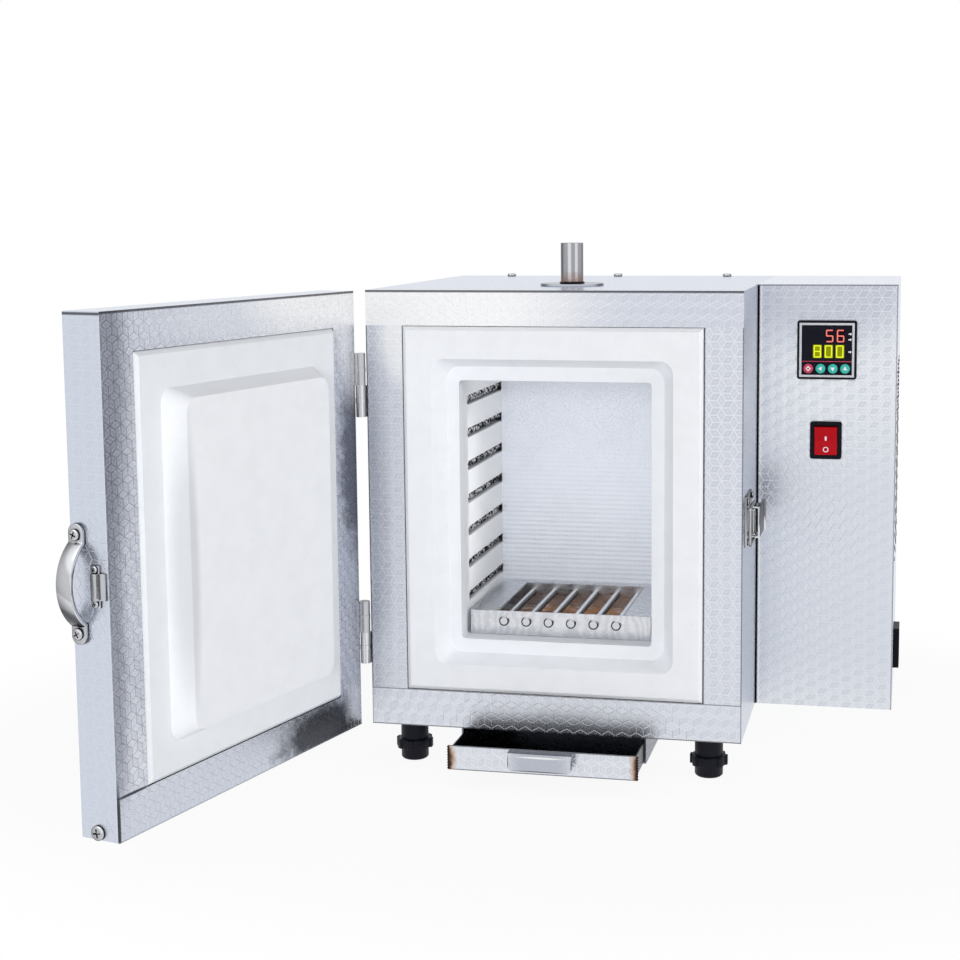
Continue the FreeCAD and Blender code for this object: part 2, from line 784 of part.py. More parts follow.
def flue():
    """Flue tube through roof board, wool and cabinet roof; its shoulder sits on a flange."""
    centre = ("0", "flue_back")
    seat = f"{TOP} + flange_thick"
    end = f"{TOP} + flue_height"
    spigot = rod("flue_spigot", "z", centre, (ROOF, seat), "flue_radius - flue_shoulder")
    stack = rod("flue_stack", "z", centre, (seat, end), "flue_radius")
    bore = rod("flue_bore", "z", centre, (f"{ROOF} - 1", f"{end} + 1"), "flue_radius - flue_wall")
    keep("flue_tube", cut("flue_tube", joined("flue_solid", spigot, stack), bore))
    disc = rod("flange_disc", "z", centre, (TOP, seat), "flange_radius")
    hole = rod("flange_hole", "z", centre, (f"{TOP} - 1", f"{seat} + 1"), "flue_radius - flue_shoulder")
    keep("flue_flange", cut("flue_flange", disc, hole))


# Rack
RACK_HALF = "(chamber_width / 2 - rack_side_gap)"
RACK_LOW = "(base_height + chamber_floor + rack_lift)"
RACK_HIGH = "(base_height + chamber_floor + rack_lift + rack_height)"
RACK_BACK = "(rack_front + rack_length)"


def bar_spot(n):
    """X and Z of one bar of the rack."""
    return (f"bar_pitch * {n - (BARS - 1) / 2}", f"{RACK_LOW} + bar_rise")


def rack():
    """Folded frame with a front and a rear plate, and round bars between them."""
    frame = [
        block("rack_front_plate", (f"0 - {RACK_HALF}", RACK_HALF),
              ("rack_front", "rack_front + rack_sheet"), (RACK_LOW, RACK_HIGH)),
        block("rack_rear_plate", (f"0 - {RACK_HALF}", RACK_HALF),
              (f"{RACK_BACK} - rack_sheet", RACK_BACK), (RACK_LOW, RACK_HIGH)),
    ]
    for side, low, high, leg in (
        ("left", f"0 - {RACK_HALF}", f"rack_flange - {RACK_HALF}", f"rack_sheet - {RACK_HALF}"),
        ("right", f"{RACK_HALF} - rack_flange", RACK_HALF, None),
    ):
        frame.append(block(f"rack_flange_{side}", (low, high), ("rack_front", RACK_BACK),
                           (f"{RACK_HIGH} - rack_sheet", RACK_HIGH)))
        span = (low, leg) if leg else (f"{RACK_HALF} - rack_sheet", high)
        frame.append(block(f"rack_leg_{side}", span, ("rack_front", RACK_BACK), (RACK_LOW, RACK_HIGH)))
    holes = [
        rod(f"rack_hole_{n}", "y", bar_spot(n), ("rack_front - 1", f"{RACK_BACK} + 1"),
            "bar_radius + bar_fit")
        for n in range(BARS)
    ]
    keep("rack_frame", cut("rack_frame", joined("rack_folded", *frame), *holes))
    bars = [
        rod(f"rack_bar_{n}", "y", bar_spot(n), ("rack_front - bar_nose", f"{RACK_BACK} + bar_nose"),
            "bar_radius")
        for n in range(BARS)
    ]
    keep("rack_bars", gathered("rack_bars", *bars))


# Drawer
DRAWER_TOP = "(base_height - drawer_below)"
DRAWER_FRONT = "(0 - drawer_out)"
TRAY_TOP = "(base_height - drawer_below - drawer_lip_drop)"
TRAY_LOW = "(base_height - drawer_below - drawer_front_height + channel_sheet + drawer_play)"


def drawer():
    """Wax tray, and its front plate with the bent tab that it is pulled by."""
    half = "(drawer_width / 2)"
    depth = (DRAWER_FRONT, "drawer_length - drawer_out")
    outer = block("tray_outer", (f"0 - {half}", half), depth, (TRAY_LOW, TRAY_TOP))
    inner = block("tray_inner", (f"drawer_sheet - {half}", f"{half} - drawer_sheet"),
                  (f"{depth[0]} + drawer_sheet", f"{depth[1]} - drawer_sheet"),
                  (f"{TRAY_LOW} + drawer_sheet", f"{TRAY_TOP} + 1"))
    keep("drawer_tray", cut("drawer_tray", outer, inner))
    front = block("drawer_plate", ("0 - drawer_front_width / 2", "drawer_front_width / 2"),
                  (f"{DRAWER_FRONT} - channel_sheet", DRAWER_FRONT),
                  (f"{DRAWER_TOP} - drawer_front_height", DRAWER_TOP))
    near = f"{DRAWER_FRONT} - channel_sheet"
    far = f"{near} - tab_reach"
    low = f"{DRAWER_TOP} - tab_drop"
    body = prism("tab", "YZ_Plane",
                 [(near, DRAWER_TOP), (far, DRAWER_TOP), (far, low), (f"{far} + channel_sheet", low),
                  (f"{far} + channel_sheet", f"{DRAWER_TOP} - channel_sheet"),
                  (near, f"{DRAWER_TOP} - channel_sheet")],
                 ("0 - tab_width / 2", "tab_width / 2"))
    soften(body, "Fillet", "Radius", "tab_corner",
           lambda edge: along(edge, Y_AXIS) and edge.BoundBox.ZMax < value(low) + 1e-4)
    keep("drawer_front", joined("drawer_front_tab", front, body))


def drawer_channel():
    """Channel under the cabinet whose turned-in lips carry the tray."""
    half = "(drawer_width / 2 + drawer_play)"
    low = f"{DRAWER_TOP} - drawer_front_height"
    depth = ("0", "channel_length")
    walls = []
    for side, sign in (("left", -1), ("right", 1)):
        inner = f"{sign} * {half}"
        outer = f"{sign} * ({half} + channel_sheet)"
        lip = f"{sign} * ({half} - channel_lip)"
        edges = (outer, inner) if sign < 0 else (inner, outer)
        shelf = (outer, lip) if sign < 0 else (lip, outer)
        walls.append(block(f"channel_wall_{side}", edges, depth, (low, UNDER)))
        walls.append(block(f"channel_lip_{side}", shelf, depth, (low, f"{low} + channel_sheet")))
    stop = block("channel_stop", (f"0 - {half} - channel_sheet", f"{half} + channel_sheet"),
                 ("channel_length - channel_sheet", "channel_length"), (low, UNDER))
    keep("drawer_channel", joined("drawer_channel", *walls, stop))


# Feet
FEET = {
    "front_left": (f"0 - {FOOT_X}", "foot_inset_front"),
    "front_right": (FOOT_X, "foot_inset_front"),
    "rear_left": (f"0 - {FOOT_X}", f"{REAR} - foot_inset_front"),
    "rear_right": (FOOT_X, f"{REAR} - foot_inset_front"),
}


def foot_sleeves():
    """Sleeves under the base plate that the feet screw into."""
    sleeves = []
    for spot, centre in FEET.items():
        outer = rod(f"sleeve_outer_{spot}", "z", centre, (f"{UNDER} - sleeve_length", UNDER), "sleeve_radius")
        bore = rod(f"sleeve_bore_{spot}", "z", centre,
                   (f"{UNDER} - sleeve_length - 1", f"{UNDER} - sleeve_length + stem_length + foot_gap * 2"),
                   "sleeve_bore")
        sleeves.append(cut(f"sleeve_{spot}", outer, bore))
    keep("foot_sleeves", gathered("foot_sleeves", *sleeves))


def foot(spot, centre):
    """A turned foot: cup, gripping ring with lugs, and the stem inside the sleeve."""
    body = new_body(f"foot_{spot}")
    ring_top = f"{UNDER} - sleeve_length - foot_gap"
    ring_low = f"{ring_top} - ring_height"
    stem_top = f"{ring_top} + stem_length"
    outline = [
        ("0", "0"), ("foot_radius - foot_bevel", "0"), ("foot_radius", "foot_bevel"),
        ("foot_radius", ring_low), ("ring_radius", ring_low), ("ring_radius", ring_top),
        ("stem_radius", ring_top), ("stem_radius", stem_top), ("0", stem_top),
    ]
    sketch = draw(sketch_on(body, "XZ_Plane", "0", f"foot_{spot}_half"), outline)
    turned = body.newObject("PartDesign::Revolution", f"foot_{spot}_turned")
    turned.Profile = sketch
    turned.ReferenceAxis = (sketch, ["V_Axis"])
    turned.Angle = 360
    doc.recompute()
    lug_outline = rectangle("ring_radius - 1", "lug_reach", "0 - lug_width / 2", "lug_width / 2")
    lug_sketch = draw(sketch_on(body, "XY_Plane", ring_low, f"foot_{spot}_lug"), lug_outline)
    lug = pad(body, lug_sketch, "ring_height")
    turns = body.newObject("PartDesign::PolarPattern", f"foot_{spot}_lugs")
    turns.Originals = [lug]
    turns.Axis = (lug_sketch, ["N_Axis"])
    turns.Angle = 360
    turns.Occurrences = LUGS
    body.Tip = turns
    doc.recompute()
    bind(body, "Placement.Base.x", centre[0])
    bind(body, "Placement.Base.y", centre[1])
    keep(f"foot_{spot}", body)


# Hinges
HINGES = {"upper": "(base_height + hinge_upper)", "lower": "(base_height + hinge_lower)"}
HINGE_X = "(0 - cabinet_width / 2 - hinge_side)"
HINGE_Y = "(0 - hinge_lead)"


def barrel(name, centre, low, high, bead_low):
    """Half of a hinge barrel, with a turned bead around it."""
    tube = rod(name + "_tube", "z", centre, (low, high), "barrel_radius")
    bead = rod(name + "_bead", "z", centre, (bead_low, f"{bead_low} + bead_height"), "barrel_bead")
    return [tube, bead]


def hinge_pieces():
    """Two lift-off hinges: leaf and lower barrel on the cabinet, the rest on the door."""
    fixed, moving, pins, washers = [], [], [], []
    for spot, low in HINGES.items():
        middle = f"({low} + hinge_height / 2)"
        high = f"({low} + hinge_height)"
        centre = (HINGE_X, HINGE_Y)
        leaf = block(f"fixed_leaf_{spot}", (f"0 - {HALF} - sheet", f"0 - {HALF}"),
                     (HINGE_Y, "leaf_width - hinge_lead"), (low, f"{middle} - washer_thick"))
        bore = rod(f"fixed_bore_{spot}", "z", centre, (f"{low} - 1", f"{high} + 1"), "pin_radius")
        shell = barrel(f"fixed_{spot}", centre, low, f"{middle} - washer_thick", f"{low} + bead_inset")
        fixed.append(cut(f"fixed_hinge_{spot}", joined(f"fixed_solid_{spot}", leaf, *shell), bore))
        local = ("0", "0")
        door_leaf = block(f"door_leaf_{spot}", ("hinge_side - sheet", "hinge_side"),
                          ("0 - leaf_width", "0"), (middle, high))
        door_bore = rod(f"door_bore_{spot}", "z", local, (f"{low} - 1", f"{high} + 1"),
                        "pin_radius + pin_fit")
        shell = barrel(f"moving_{spot}", local, middle, high, f"{high} - bead_inset - bead_height")
        moving.append(cut(f"moving_hinge_{spot}",
                          joined(f"moving_solid_{spot}", door_leaf, *shell), door_bore))
        pins.append(rod(f"pin_{spot}", "z", centre, (low, high), "pin_radius"))
        disc = rod(f"washer_disc_{spot}", "z", centre, (f"{middle} - washer_thick", middle), "barrel_radius")
        hole = rod(f"washer_hole_{spot}", "z", centre, (f"{low} - 1", f"{high} + 1"), "pin_radius")
        washers.append(cut(f"washer_{spot}", disc, hole))
    keep("hinge_cabinet_leaves", gathered("fixed_hinges", *fixed))
    keep("hinge_door_leaves", hang(gathered("moving_hinges", *moving)))
    keep("hinge_pins", gathered("pins_and_washers", *pins, *washers))


# Door, drawn closed about the hinge axis and then turned open
def door_shell():
    """Folded steel pan, open towards the chamber."""
    body = prism("door_pan", "XZ_Plane", rectangle(DOOR_NEAR, DOOR_FAR, DOOR_LOW, DOOR_HIGH),
                 (DOOR_OUTER, f"{DOOR_INNER} - sheet"))
    soften(body, "Fillet", "Radius", "door_edge",
           lambda edge: edge.BoundBox.YMax < value(DOOR_INNER) - value("sheet") - 1)
    inside = draw(sketch_on(body, "XZ_Plane", "hinge_lead + sheet", "door_pan_inside"),
                  rectangle(f"{DOOR_NEAR} + sheet", f"{DOOR_FAR} - sheet",
                            f"{DOOR_LOW} + sheet", f"{DOOR_HIGH} - sheet"))
    pocket = body.newObject("PartDesign::Pocket", "door_pan_pocket")
    pocket.Profile = inside
    pocket.Reversed = True
    bind(pocket, "Length", "door_thickness - 2 * sheet")
    doc.recompute()
    keep("door_shell", hang(body))


def door_strips():
    """Four polished strips that frame the door's fibre board."""
    low = f"{UNDER} + bottom_strip"
    high = f"{TOP} - top_strip"
    depth = (f"{DOOR_INNER} - sheet", DOOR_INNER)
    near = (DOOR_NEAR, "hinge_side + side_strip")
    far = (f"{DOOR_FAR} - side_strip", DOOR_FAR)
    strips = [
        block("door_strip_top", (DOOR_NEAR, DOOR_FAR), depth, (high, DOOR_HIGH)),
        block("door_strip_bottom", (DOOR_NEAR, DOOR_FAR), depth, (DOOR_LOW, low)),
        block("door_strip_near", near, depth, (low, high)),
        block("door_strip_far", far, depth, (low, high)),
    ]
    keep("door_strips", hang(gathered("door_strips", *strips)))


BOARD_FACE = "(hinge_lead - collar_proud - seal_gap)"
BOARD_BACK = "(0 - hinge_lead - board_depth)"


def door_board():
    """Flat fibre board in the door that closes on the collar."""
    half = MOUTH_HALF
    body = prism("board", "XZ_Plane",
                 rectangle(f"{DOOR_MIDDLE} - {half}", f"{DOOR_MIDDLE} + {half}", MOUTH_LOW, MOUTH_HIGH),
                 (BOARD_BACK, BOARD_FACE))
    soften(body, "Chamfer", "Size", "collar_bevel",
           lambda edge: edge.BoundBox.YMin > value(BOARD_FACE) - 1e-4)
    keep("door_board", hang(body))


def door_plug():
    """Raised fibre block with sloped, rounded sides that fills the collar's recess."""
    body = new_body("plug")
    loft = body.newObject("PartDesign::AdditiveLoft", "plug_loft")
    front = "hinge_lead - collar_proud + recess_depth - plug_gap"
    faces = []
    for name, depth, flare in (("base", BOARD_FACE, 1), ("front", front, 0)):
        side = f"({WALL} + ledge_side + flare_side * {flare} - plug_gap)"
        low = f"{FLOOR} - ledge_end - flare_end * {flare} + plug_gap"
        high = f"{ROOF} + ledge_end + flare_end * {flare} - plug_gap"
        sketch = sketch_on(body, "XZ_Plane", f"0 - ({depth})", f"plug_{name}")
        faces.append(draw_rounded(sketch, f"{DOOR_MIDDLE} - {side}", f"{DOOR_MIDDLE} + {side}", low, high,
                                  "recess_corner"))
    loft.Profile = faces[0]
    loft.Sections = [faces[1]]
    loft.Ruled = True
    doc.recompute()
    keep("door_plug", hang(body))


def door_wool():
    """Mineral wool pad between the board and the door's outer sheet."""
    pad_block = block("door_wool_pad", (f"{DOOR_NEAR} + sheet + wool_gap", f"{DOOR_FAR} - sheet - wool_gap"),
                      (f"{DOOR_OUTER} + sheet", BOARD_BACK),
                      (f"{DOOR_LOW} + sheet + wool_gap", f"{DOOR_HIGH} - sheet - wool_gap"))
    keep("door_wool", hang(gathered("door_wool_filling", pad_block)))


HANDLE_LOW = "(base_height + handle_centre - handle_length / 2)"
HANDLE_HIGH = "(base_height + handle_centre + handle_length / 2)"
HANDLE_MIDDLE = "(0 - hinge_lead - handle_out)"


def door_handle():
    """Handle on the door's free edge: an arched strap between two rounded ears."""
    flat = (DOOR_FAR, f"{DOOR_FAR} + handle_strap")
    width = about(HANDLE_MIDDLE, "handle_width")
    wider = about(HANDLE_MIDDLE, "handle_width + 2")
    ends = (f"{HANDLE_LOW} + handle_width / 2", f"{HANDLE_HIGH} - handle_width / 2")
    ears = [rod(f"handle_ear_{n}", "x", (HANDLE_MIDDLE, end), flat, "handle_width / 2")
            for n, end in enumerate(ends)]
    plate = block("handle_plate", flat, width, ends)
    centre = (f"({DOOR_FAR} + handle_stand - handle_strap - handle_bow)", "(base_height + handle_centre)")
    disc = rod("handle_disc", "y", centre, width, "handle_bow + handle_strap")
    door_side = block("handle_door_side", (f"{DOOR_FAR} - 2 * handle_bow", DOOR_FAR), wider,
                      (HANDLE_LOW, HANDLE_HIGH))
    inside = rod("handle_inside", "y", centre, wider, "handle_bow")
    holes = [
        rod(f"handle_hole_{n}", "x", (HANDLE_MIDDLE, height),
            (f"{DOOR_FAR} - 1", f"{DOOR_FAR} + handle_strap + 1"), "screw_shank + screw_fit")
        for n, height in enumerate(handle_screw_heights())
    ]
    solid = joined("handle_solid", cut("handle_arch", disc, door_side), plate, *ears)
    keep("door_handle", hang(cut("door_handle", solid, inside, *holes)))


def handle_screw_heights():
    return (f"{HANDLE_LOW} + handle_screw_inset", f"{HANDLE_HIGH} - handle_screw_inset")


def door_edge_screws():
    """Screws on the door's free edge: two in the handle, two in the catch, one larger below."""
    handle = [
        pan_screw(f"handle_screw_{n}", "x", (HANDLE_MIDDLE, height), f"{DOOR_FAR} + handle_strap", -1,
                  "screw_head", "screw_head_height", "screw_shank", "handle_strap - foot_gap")
        for n, height in enumerate(handle_screw_heights())
    ]
    catch = [
        pan_screw(f"catch_screw_{n}", "x", catch_screw_spot(n), f"{DOOR_FAR} + catch_sheet", -1,
                  "small_head", "small_head_height", "small_shank", "catch_sheet - foot_gap / 2")
        for n in range(2)
    ]
    spot = ("0 - hinge_lead - corner_out", f"{UNDER} + corner_rise + door_inset")
    corner = rod("corner_screw", "x", spot, (DOOR_FAR, f"{DOOR_FAR} + screw_head_height"), "corner_head")
    keep("door_edge_screws", hang(gathered("edge_screws", *handle, *catch, corner)))


CATCH_LOW = "(base_height + catch_low)"
CATCH_HIGH = "(base_height + catch_low + catch_height)"
CATCH_FAR = "(0 - hinge_lead - catch_near - catch_width)"


def catch_plate():
    """Catch on the door's free edge: a plate with two ears and a lip turned back."""
    near = "(0 - hinge_lead - catch_near)"
    flat = (DOOR_FAR, f"{DOOR_FAR} + catch_sheet")
    tall = (CATCH_LOW, CATCH_HIGH)
    width = (CATCH_FAR, f"{CATCH_FAR} + catch_ear_width")
    bend = f"{CATCH_FAR} + catch_ear"
    plate = block("catch_sheet_plate", flat, (CATCH_FAR, near), tall)
    ears = [
        block("catch_ear_low", flat, width, (f"{CATCH_LOW} - catch_ear", CATCH_LOW)),
        block("catch_ear_high", flat, width, (CATCH_HIGH, f"{CATCH_HIGH} + catch_ear")),
    ]
    riser = block("catch_riser", (DOOR_FAR, f"{DOOR_FAR} + catch_stand"),
                  (bend, f"{bend} + catch_sheet"), tall)
    hook = block("catch_hook_lip", (f"{DOOR_FAR} + catch_stand - catch_sheet", f"{DOOR_FAR} + catch_stand"),
                 (f"{bend} - catch_hook", f"{bend} + catch_sheet"), tall)
    holes = [
        rod(f"catch_hole_{n}", "x", catch_screw_spot(n), (f"{DOOR_FAR} - 1", f"{DOOR_FAR} + catch_sheet + 1"),
            "small_shank + screw_fit")
        for n in range(2)
    ]
    solid = joined("catch_solid", plate, *ears, riser, hook)
    keep("catch_plate", hang(cut("catch_plate", solid, *holes)))


def catch_screw_spot(n):
    """Y and Z of a catch screw, in the middle of its ear."""
    height = (f"{CATCH_LOW} - catch_ear / 2", f"{CATCH_HIGH} + catch_ear / 2")[n]
    return (f"{CATCH_FAR} + catch_ear_width / 2", height)


# Toggle latch on the cabinet's right side
LATCH_Z = "(base_height + latch_height)"
PIVOT_X = "(cabinet_width / 2 + pivot_out)"
BAIL_Y = "(pivot_back + toggle_arm)"


def latch_base():
    """Base plate with two ears for the lever's pin."""
    plate = block("latch_plate", (HALF, f"{HALF} + latch_sheet"),
                  ("latch_front", "latch_front + latch_plate_length"),
                  about(LATCH_Z, "latch_plate_height"))
    ears = []
    for side, sign in (("low", -1), ("high", 1)):
        edges = [f"{LATCH_Z} + {sign} * ear_half", f"{LATCH_Z} + {sign} * (ear_half - latch_sheet)"]
        span = tuple(edges) if sign < 0 else tuple(reversed(edges))
        ears.append(block(f"latch_ear_{side}", (HALF, PIVOT_X),
                          ("pivot_back - ear_round", "pivot_back + ear_round"), span))
        ears.append(rod(f"latch_ear_end_{side}", "z", (PIVOT_X, "pivot_back"), span, "ear_round"))
    bore = rod("latch_ear_bore", "z", (PIVOT_X, "pivot_back"),
               (f"{LATCH_Z} - lever_half - 1", f"{LATCH_Z} + lever_half + 1"), "latch_pin")
    holes = [
        rod(f"latch_screw_hole_{n}", "x", latch_screw_spot(n), (f"{HALF} - 1", f"{HALF} + latch_sheet + 1"),
            "small_shank + screw_fit")
        for n in range(4)
    ]
    keep("latch_base", cut("latch_base", joined("latch_base_solid", plate, *ears), bore, *holes))


def latch_screw_spot(n):
    """Y and Z of one of the latch's four screws."""
    inset = "(small_head + latch_sheet)"
    back = (f"latch_front + {inset}", f"latch_front + latch_plate_length - {inset}")[n % 2]
    rise = about(LATCH_Z, f"latch_plate_height - 2 * {inset}")[n // 2]
    return (back, rise)


def latch_fasteners():
    """Four screws in the base plate and the pin that the lever turns on."""
    screws = [
        pan_screw(f"latch_screw_{n}", "x", latch_screw_spot(n), f"{HALF} + latch_sheet", -1,
                  "small_head", "small_head_height", "small_shank", "latch_sheet - foot_gap / 2")
        for n in range(4)
    ]
    pin = rod("latch_pin_rod", "z", (PIVOT_X, "pivot_back"),
              (f"{LATCH_Z} - lever_half - latch_fit", f"{LATCH_Z} + lever_half + latch_fit"), "latch_pin")
    keep("latch_fasteners", gathered("latch_screws_and_pin", *screws, pin))


def latch_lever():
    """Channel-shaped lever over the ears, with a thumb end that stands a little out."""
    top = f"({HALF} + lever_top)"
    outer = f"({HALF} + lever_top + latch_sheet)"
    low = f"({HALF} + latch_sheet * 2)"
    front = "(pivot_back - lever_nose)"
    side_end = f"({BAIL_Y} + lever_cheek)"
    end = f"({front} + lever_length)"
    width = about(LATCH_Z, "2 * lever_half")
    pieces = [block("lever_top_plate", (top, outer), (front, end), width)]
    for side, sign in (("low", -1), ("high", 1)):
        edges = [f"{LATCH_Z} + {sign} * lever_half", f"{LATCH_Z} + {sign} * (lever_half - latch_sheet)"]
        span = tuple(edges) if sign < 0 else tuple(reversed(edges))
        pieces.append(block(f"lever_side_{side}", (low, outer), (front, side_end), span))
    thumb = block("lever_thumb", (top, f"{outer} + latch_sheet"), (f"{end} - latch_sheet", end), width)
    across = (f"{LATCH_Z} - lever_half - 1", f"{LATCH_Z} + lever_half + 1")
    pivot = rod("lever_pivot_bore", "z", (PIVOT_X, "pivot_back"), across, "latch_pin + latch_fit")
    bail = rod("lever_bail_bore", "z", (PIVOT_X, BAIL_Y), across, "bail_wire + latch_fit")
    keep("latch_lever", cut("latch_lever", joined("lever_solid", *pieces, thumb), pivot, bail))


def latch_bail():
    """Wire bail: two arms, pivot ends turned into the lever and a cross bar in front."""
    x = value(PIVOT_X)
    back = value(BAIL_Y)
    front = value(f"{BAIL_Y} - bail_length")
    middle = value(LATCH_Z)
    half = value("bail_half")
    inner = value("lever_half - latch_sheet")
    corners = [
        (x, back, middle - inner), (x, back, middle - half), (x, front, middle - half),
        (x, front, middle + half), (x, back, middle + half), (x, back, middle + inner),
    ]
    wire = doc.addObject("Part::Feature", "bail_wire_loop")
    wire.Shape = swept_wire([FreeCAD.Vector(*corner) for corner in corners],
                            value("bail_wire"), value("bail_wire + bail_bend"))
    keep("latch_bail", wire)


# Control box
def control_case():
    """Roof, floor and rear of the control box, folded from one sheet."""
    outer = block("case_outer", (HALF, f"{CONTROL_RIGHT} - sheet"), ("control_front + sheet", REAR),
                  (UNDER, TOP))
    inner = block("case_inner", (f"{HALF} - 1", CONTROL_RIGHT), ("control_front", f"{REAR} - sheet"),
                  (f"{UNDER} + sheet", f"{TOP} - sheet"))
    keep("control_case", cut("control_case", outer, inner))


def control_side():
    """Right side of the control box, with staggered vent slots and the inlet's hole."""
    plate = block("side_plate", (f"{CONTROL_RIGHT} - sheet", CONTROL_RIGHT),
                  ("control_front + sheet", REAR), (UNDER, TOP))
    through = (f"{CONTROL_RIGHT} - 2 * sheet", f"{CONTROL_RIGHT} + sheet")
    slots = []
    for column in range(VENT_COLUMNS):
        back = f"(vent_front + vent_column * {column})"
        for row in range(VENT_ROWS):
            low = f"(base_height + vent_low + vent_pitch * {row + (column % 2) / 2})"
            slots.append(block(f"vent_{column}_{row}", through, (back, f"{back} + vent_length"),
                               (low, f"{low} + vent_height")))
    hole = block("inlet_hole", through, about(INLET_Y, "inlet_width - 2 * inlet_rim"),
                 about(INLET_Z, "inlet_height - 2 * inlet_rim"))
    keep("control_side", cut("control_side", plate, *slots, hole))


INLET_Y = "inlet_back"
INLET_Z = "(base_height + inlet_rise)"
BEZEL_Z = "(base_height + cabinet_height - controller_drop)"
SWITCH_Z = "(base_height + cabinet_height - controller_drop - switch_drop)"


def control_panel():
    """Front plate of the control box, with its two cut-outs."""
    plate = block("panel_plate", (HALF, CONTROL_RIGHT), ("control_front", "control_front + sheet"),
                  (UNDER, TOP))
    through = ("control_front - 1", "control_front + sheet + 1")
    controller_hole = block("panel_controller_hole", about(CONTROL_MIDDLE, "controller_body"), through,
                            about(BEZEL_Z, "controller_body"))
    switch_hole = block("panel_switch_hole", about(CONTROL_MIDDLE, "switch_width - 2 * switch_rim"), through,
                        about(SWITCH_Z, "switch_height - 2 * switch_rim"))
    keep("control_panel", cut("control_panel", plate, controller_hole, switch_hole))


def button_x(n):
    return f"({CONTROL_MIDDLE} + button_pitch * {n - (BUTTONS - 1) / 2})"


BUTTON_Z = "(base_height + cabinet_height - controller_drop - button_drop)"
BEZEL_FACE = "(control_front - bezel_proud)"


def controller():
    """Panel controller: bezel and body, display window and four sprung buttons."""
    body = prism("controller", "XZ_Plane",
                 rectangle(*about(CONTROL_MIDDLE, "bezel"), *about(BEZEL_Z, "bezel")),
                 (BEZEL_FACE, "control_front"))
    soften(body, "Fillet", "Radius", "bezel_corner", lambda edge: along(edge, Y_AXIS))
    case = block("controller_case", about(CONTROL_MIDDLE, "controller_body"),
                 ("control_front", "control_front + controller_depth"), about(BEZEL_Z, "controller_body"))
    window = (about(CONTROL_MIDDLE, "window_width"), about(f"({BEZEL_Z} + window_shift)", "window_height"))
    recess = [block("window_recess", window[0], (f"{BEZEL_FACE} - 1", f"{BEZEL_FACE} + window_depth"),
                    window[1])]
    for n in range(BUTTONS):
        recess.append(rod(f"button_recess_{n}", "y", (button_x(n), BUTTON_Z),
                          (f"{BEZEL_FACE} - 1", f"{BEZEL_FACE} + button_depth + button_proud"),
                          "button_radius + button_gap"))
    keep("controller_housing", cut("controller_housing", joined("controller_solid", body, case), *recess))
    pane = block("controller_pane", window[0], (BEZEL_FACE, f"{BEZEL_FACE} + window_depth"), window[1])
    keep("controller_window", pane)
    for n, label in enumerate(("set", "left", "down", "up")):
        key = rod(f"button_{n}", "y", (button_x(n), BUTTON_Z),
                  (f"{BEZEL_FACE} - button_proud", f"{BEZEL_FACE} + button_depth"), "button_radius")
        keep(f"button_{label}", key)


def mains_switch():
    """Switch housing with a rim, and the rocker that tips on a pin inside it."""
    rim = prism("switch_rim_plate", "XZ_Plane",
                rectangle(*about(CONTROL_MIDDLE, "switch_width"), *about(SWITCH_Z, "switch_height")),
                ("control_front - switch_proud", "control_front"))
    soften(rim, "Fillet", "Radius", "bezel_corner", lambda edge: along(edge, Y_AXIS))
    case = block("switch_case", about(CONTROL_MIDDLE, "switch_width - 2 * switch_rim"),
                 ("control_front", "control_front + switch_depth"),
                 about(SWITCH_Z, "switch_height - 2 * switch_rim"))
    well = block("switch_well", about(CONTROL_MIDDLE, "rocker_width + rocker_gap"),
                 ("control_front - switch_proud - 1", "control_front + rocker_depth + rocker_dish"),
                 about(SWITCH_Z, "rocker_height + 2 * rocker_gap"))
    housing = cut("switch_shell", joined("switch_solid", rim, case), well)
    pin = rod("switch_pin", "x", ("control_front", SWITCH_Z),
              about(CONTROL_MIDDLE, "rocker_width + 2"), "rocker_pin")
    keep("switch_housing", joined("switch_housing", housing, pin))
    half = "(rocker_height / 2)"
    profile = [
        ("0 - rocker_out", f"0 - {half}"), ("rocker_dish - rocker_out", "0"), ("0 - rocker_out", half),
        ("rocker_depth / 2", f"{half} - rocker_gap"), ("rocker_depth - 1", "0"),
        ("rocker_depth / 2", f"rocker_gap - {half}"),
    ]
    body = prism("rocker", "YZ_Plane", profile, ("0 - rocker_width / 2", "rocker_width / 2"))
    bore = draw_circle(body, "YZ_Plane", "rocker_pin + pin_fit")
    pocket = body.newObject("PartDesign::Pocket", "rocker_bore")
    pocket.Profile = bore
    pocket.Type = "ThroughAll"
    pocket.Midplane = True
    doc.recompute()
    body.Placement.Rotation = FreeCAD.Rotation(X_AXIS, value("rocker_tilt"))
    place(body, CONTROL_MIDDLE, "control_front", SWITCH_Z)
    bind(body, "Placement.Rotation.Angle", "rocker_tilt")
    keep("switch_rocker", body)


def draw_circle(body, role, radius):
    """A circle about the origin of one of a body's planes."""
    sketch = sketch_on(body, role, "0", body.Name + "_circle")
    sketch.addGeometry(Part.Circle(FreeCAD.Vector(0, 0, 0), Z_AXIS, value(radius)))
    sketch.addConstraint(Sketcher.Constraint("Coincident", 0, 3, -1, 1))
    size = sketch.addConstraint(Sketcher.Constraint("Radius", 0, value(radius)))
    sketch.setExpression(f"Constraints[{size}]", bound(radius))
    return sketch


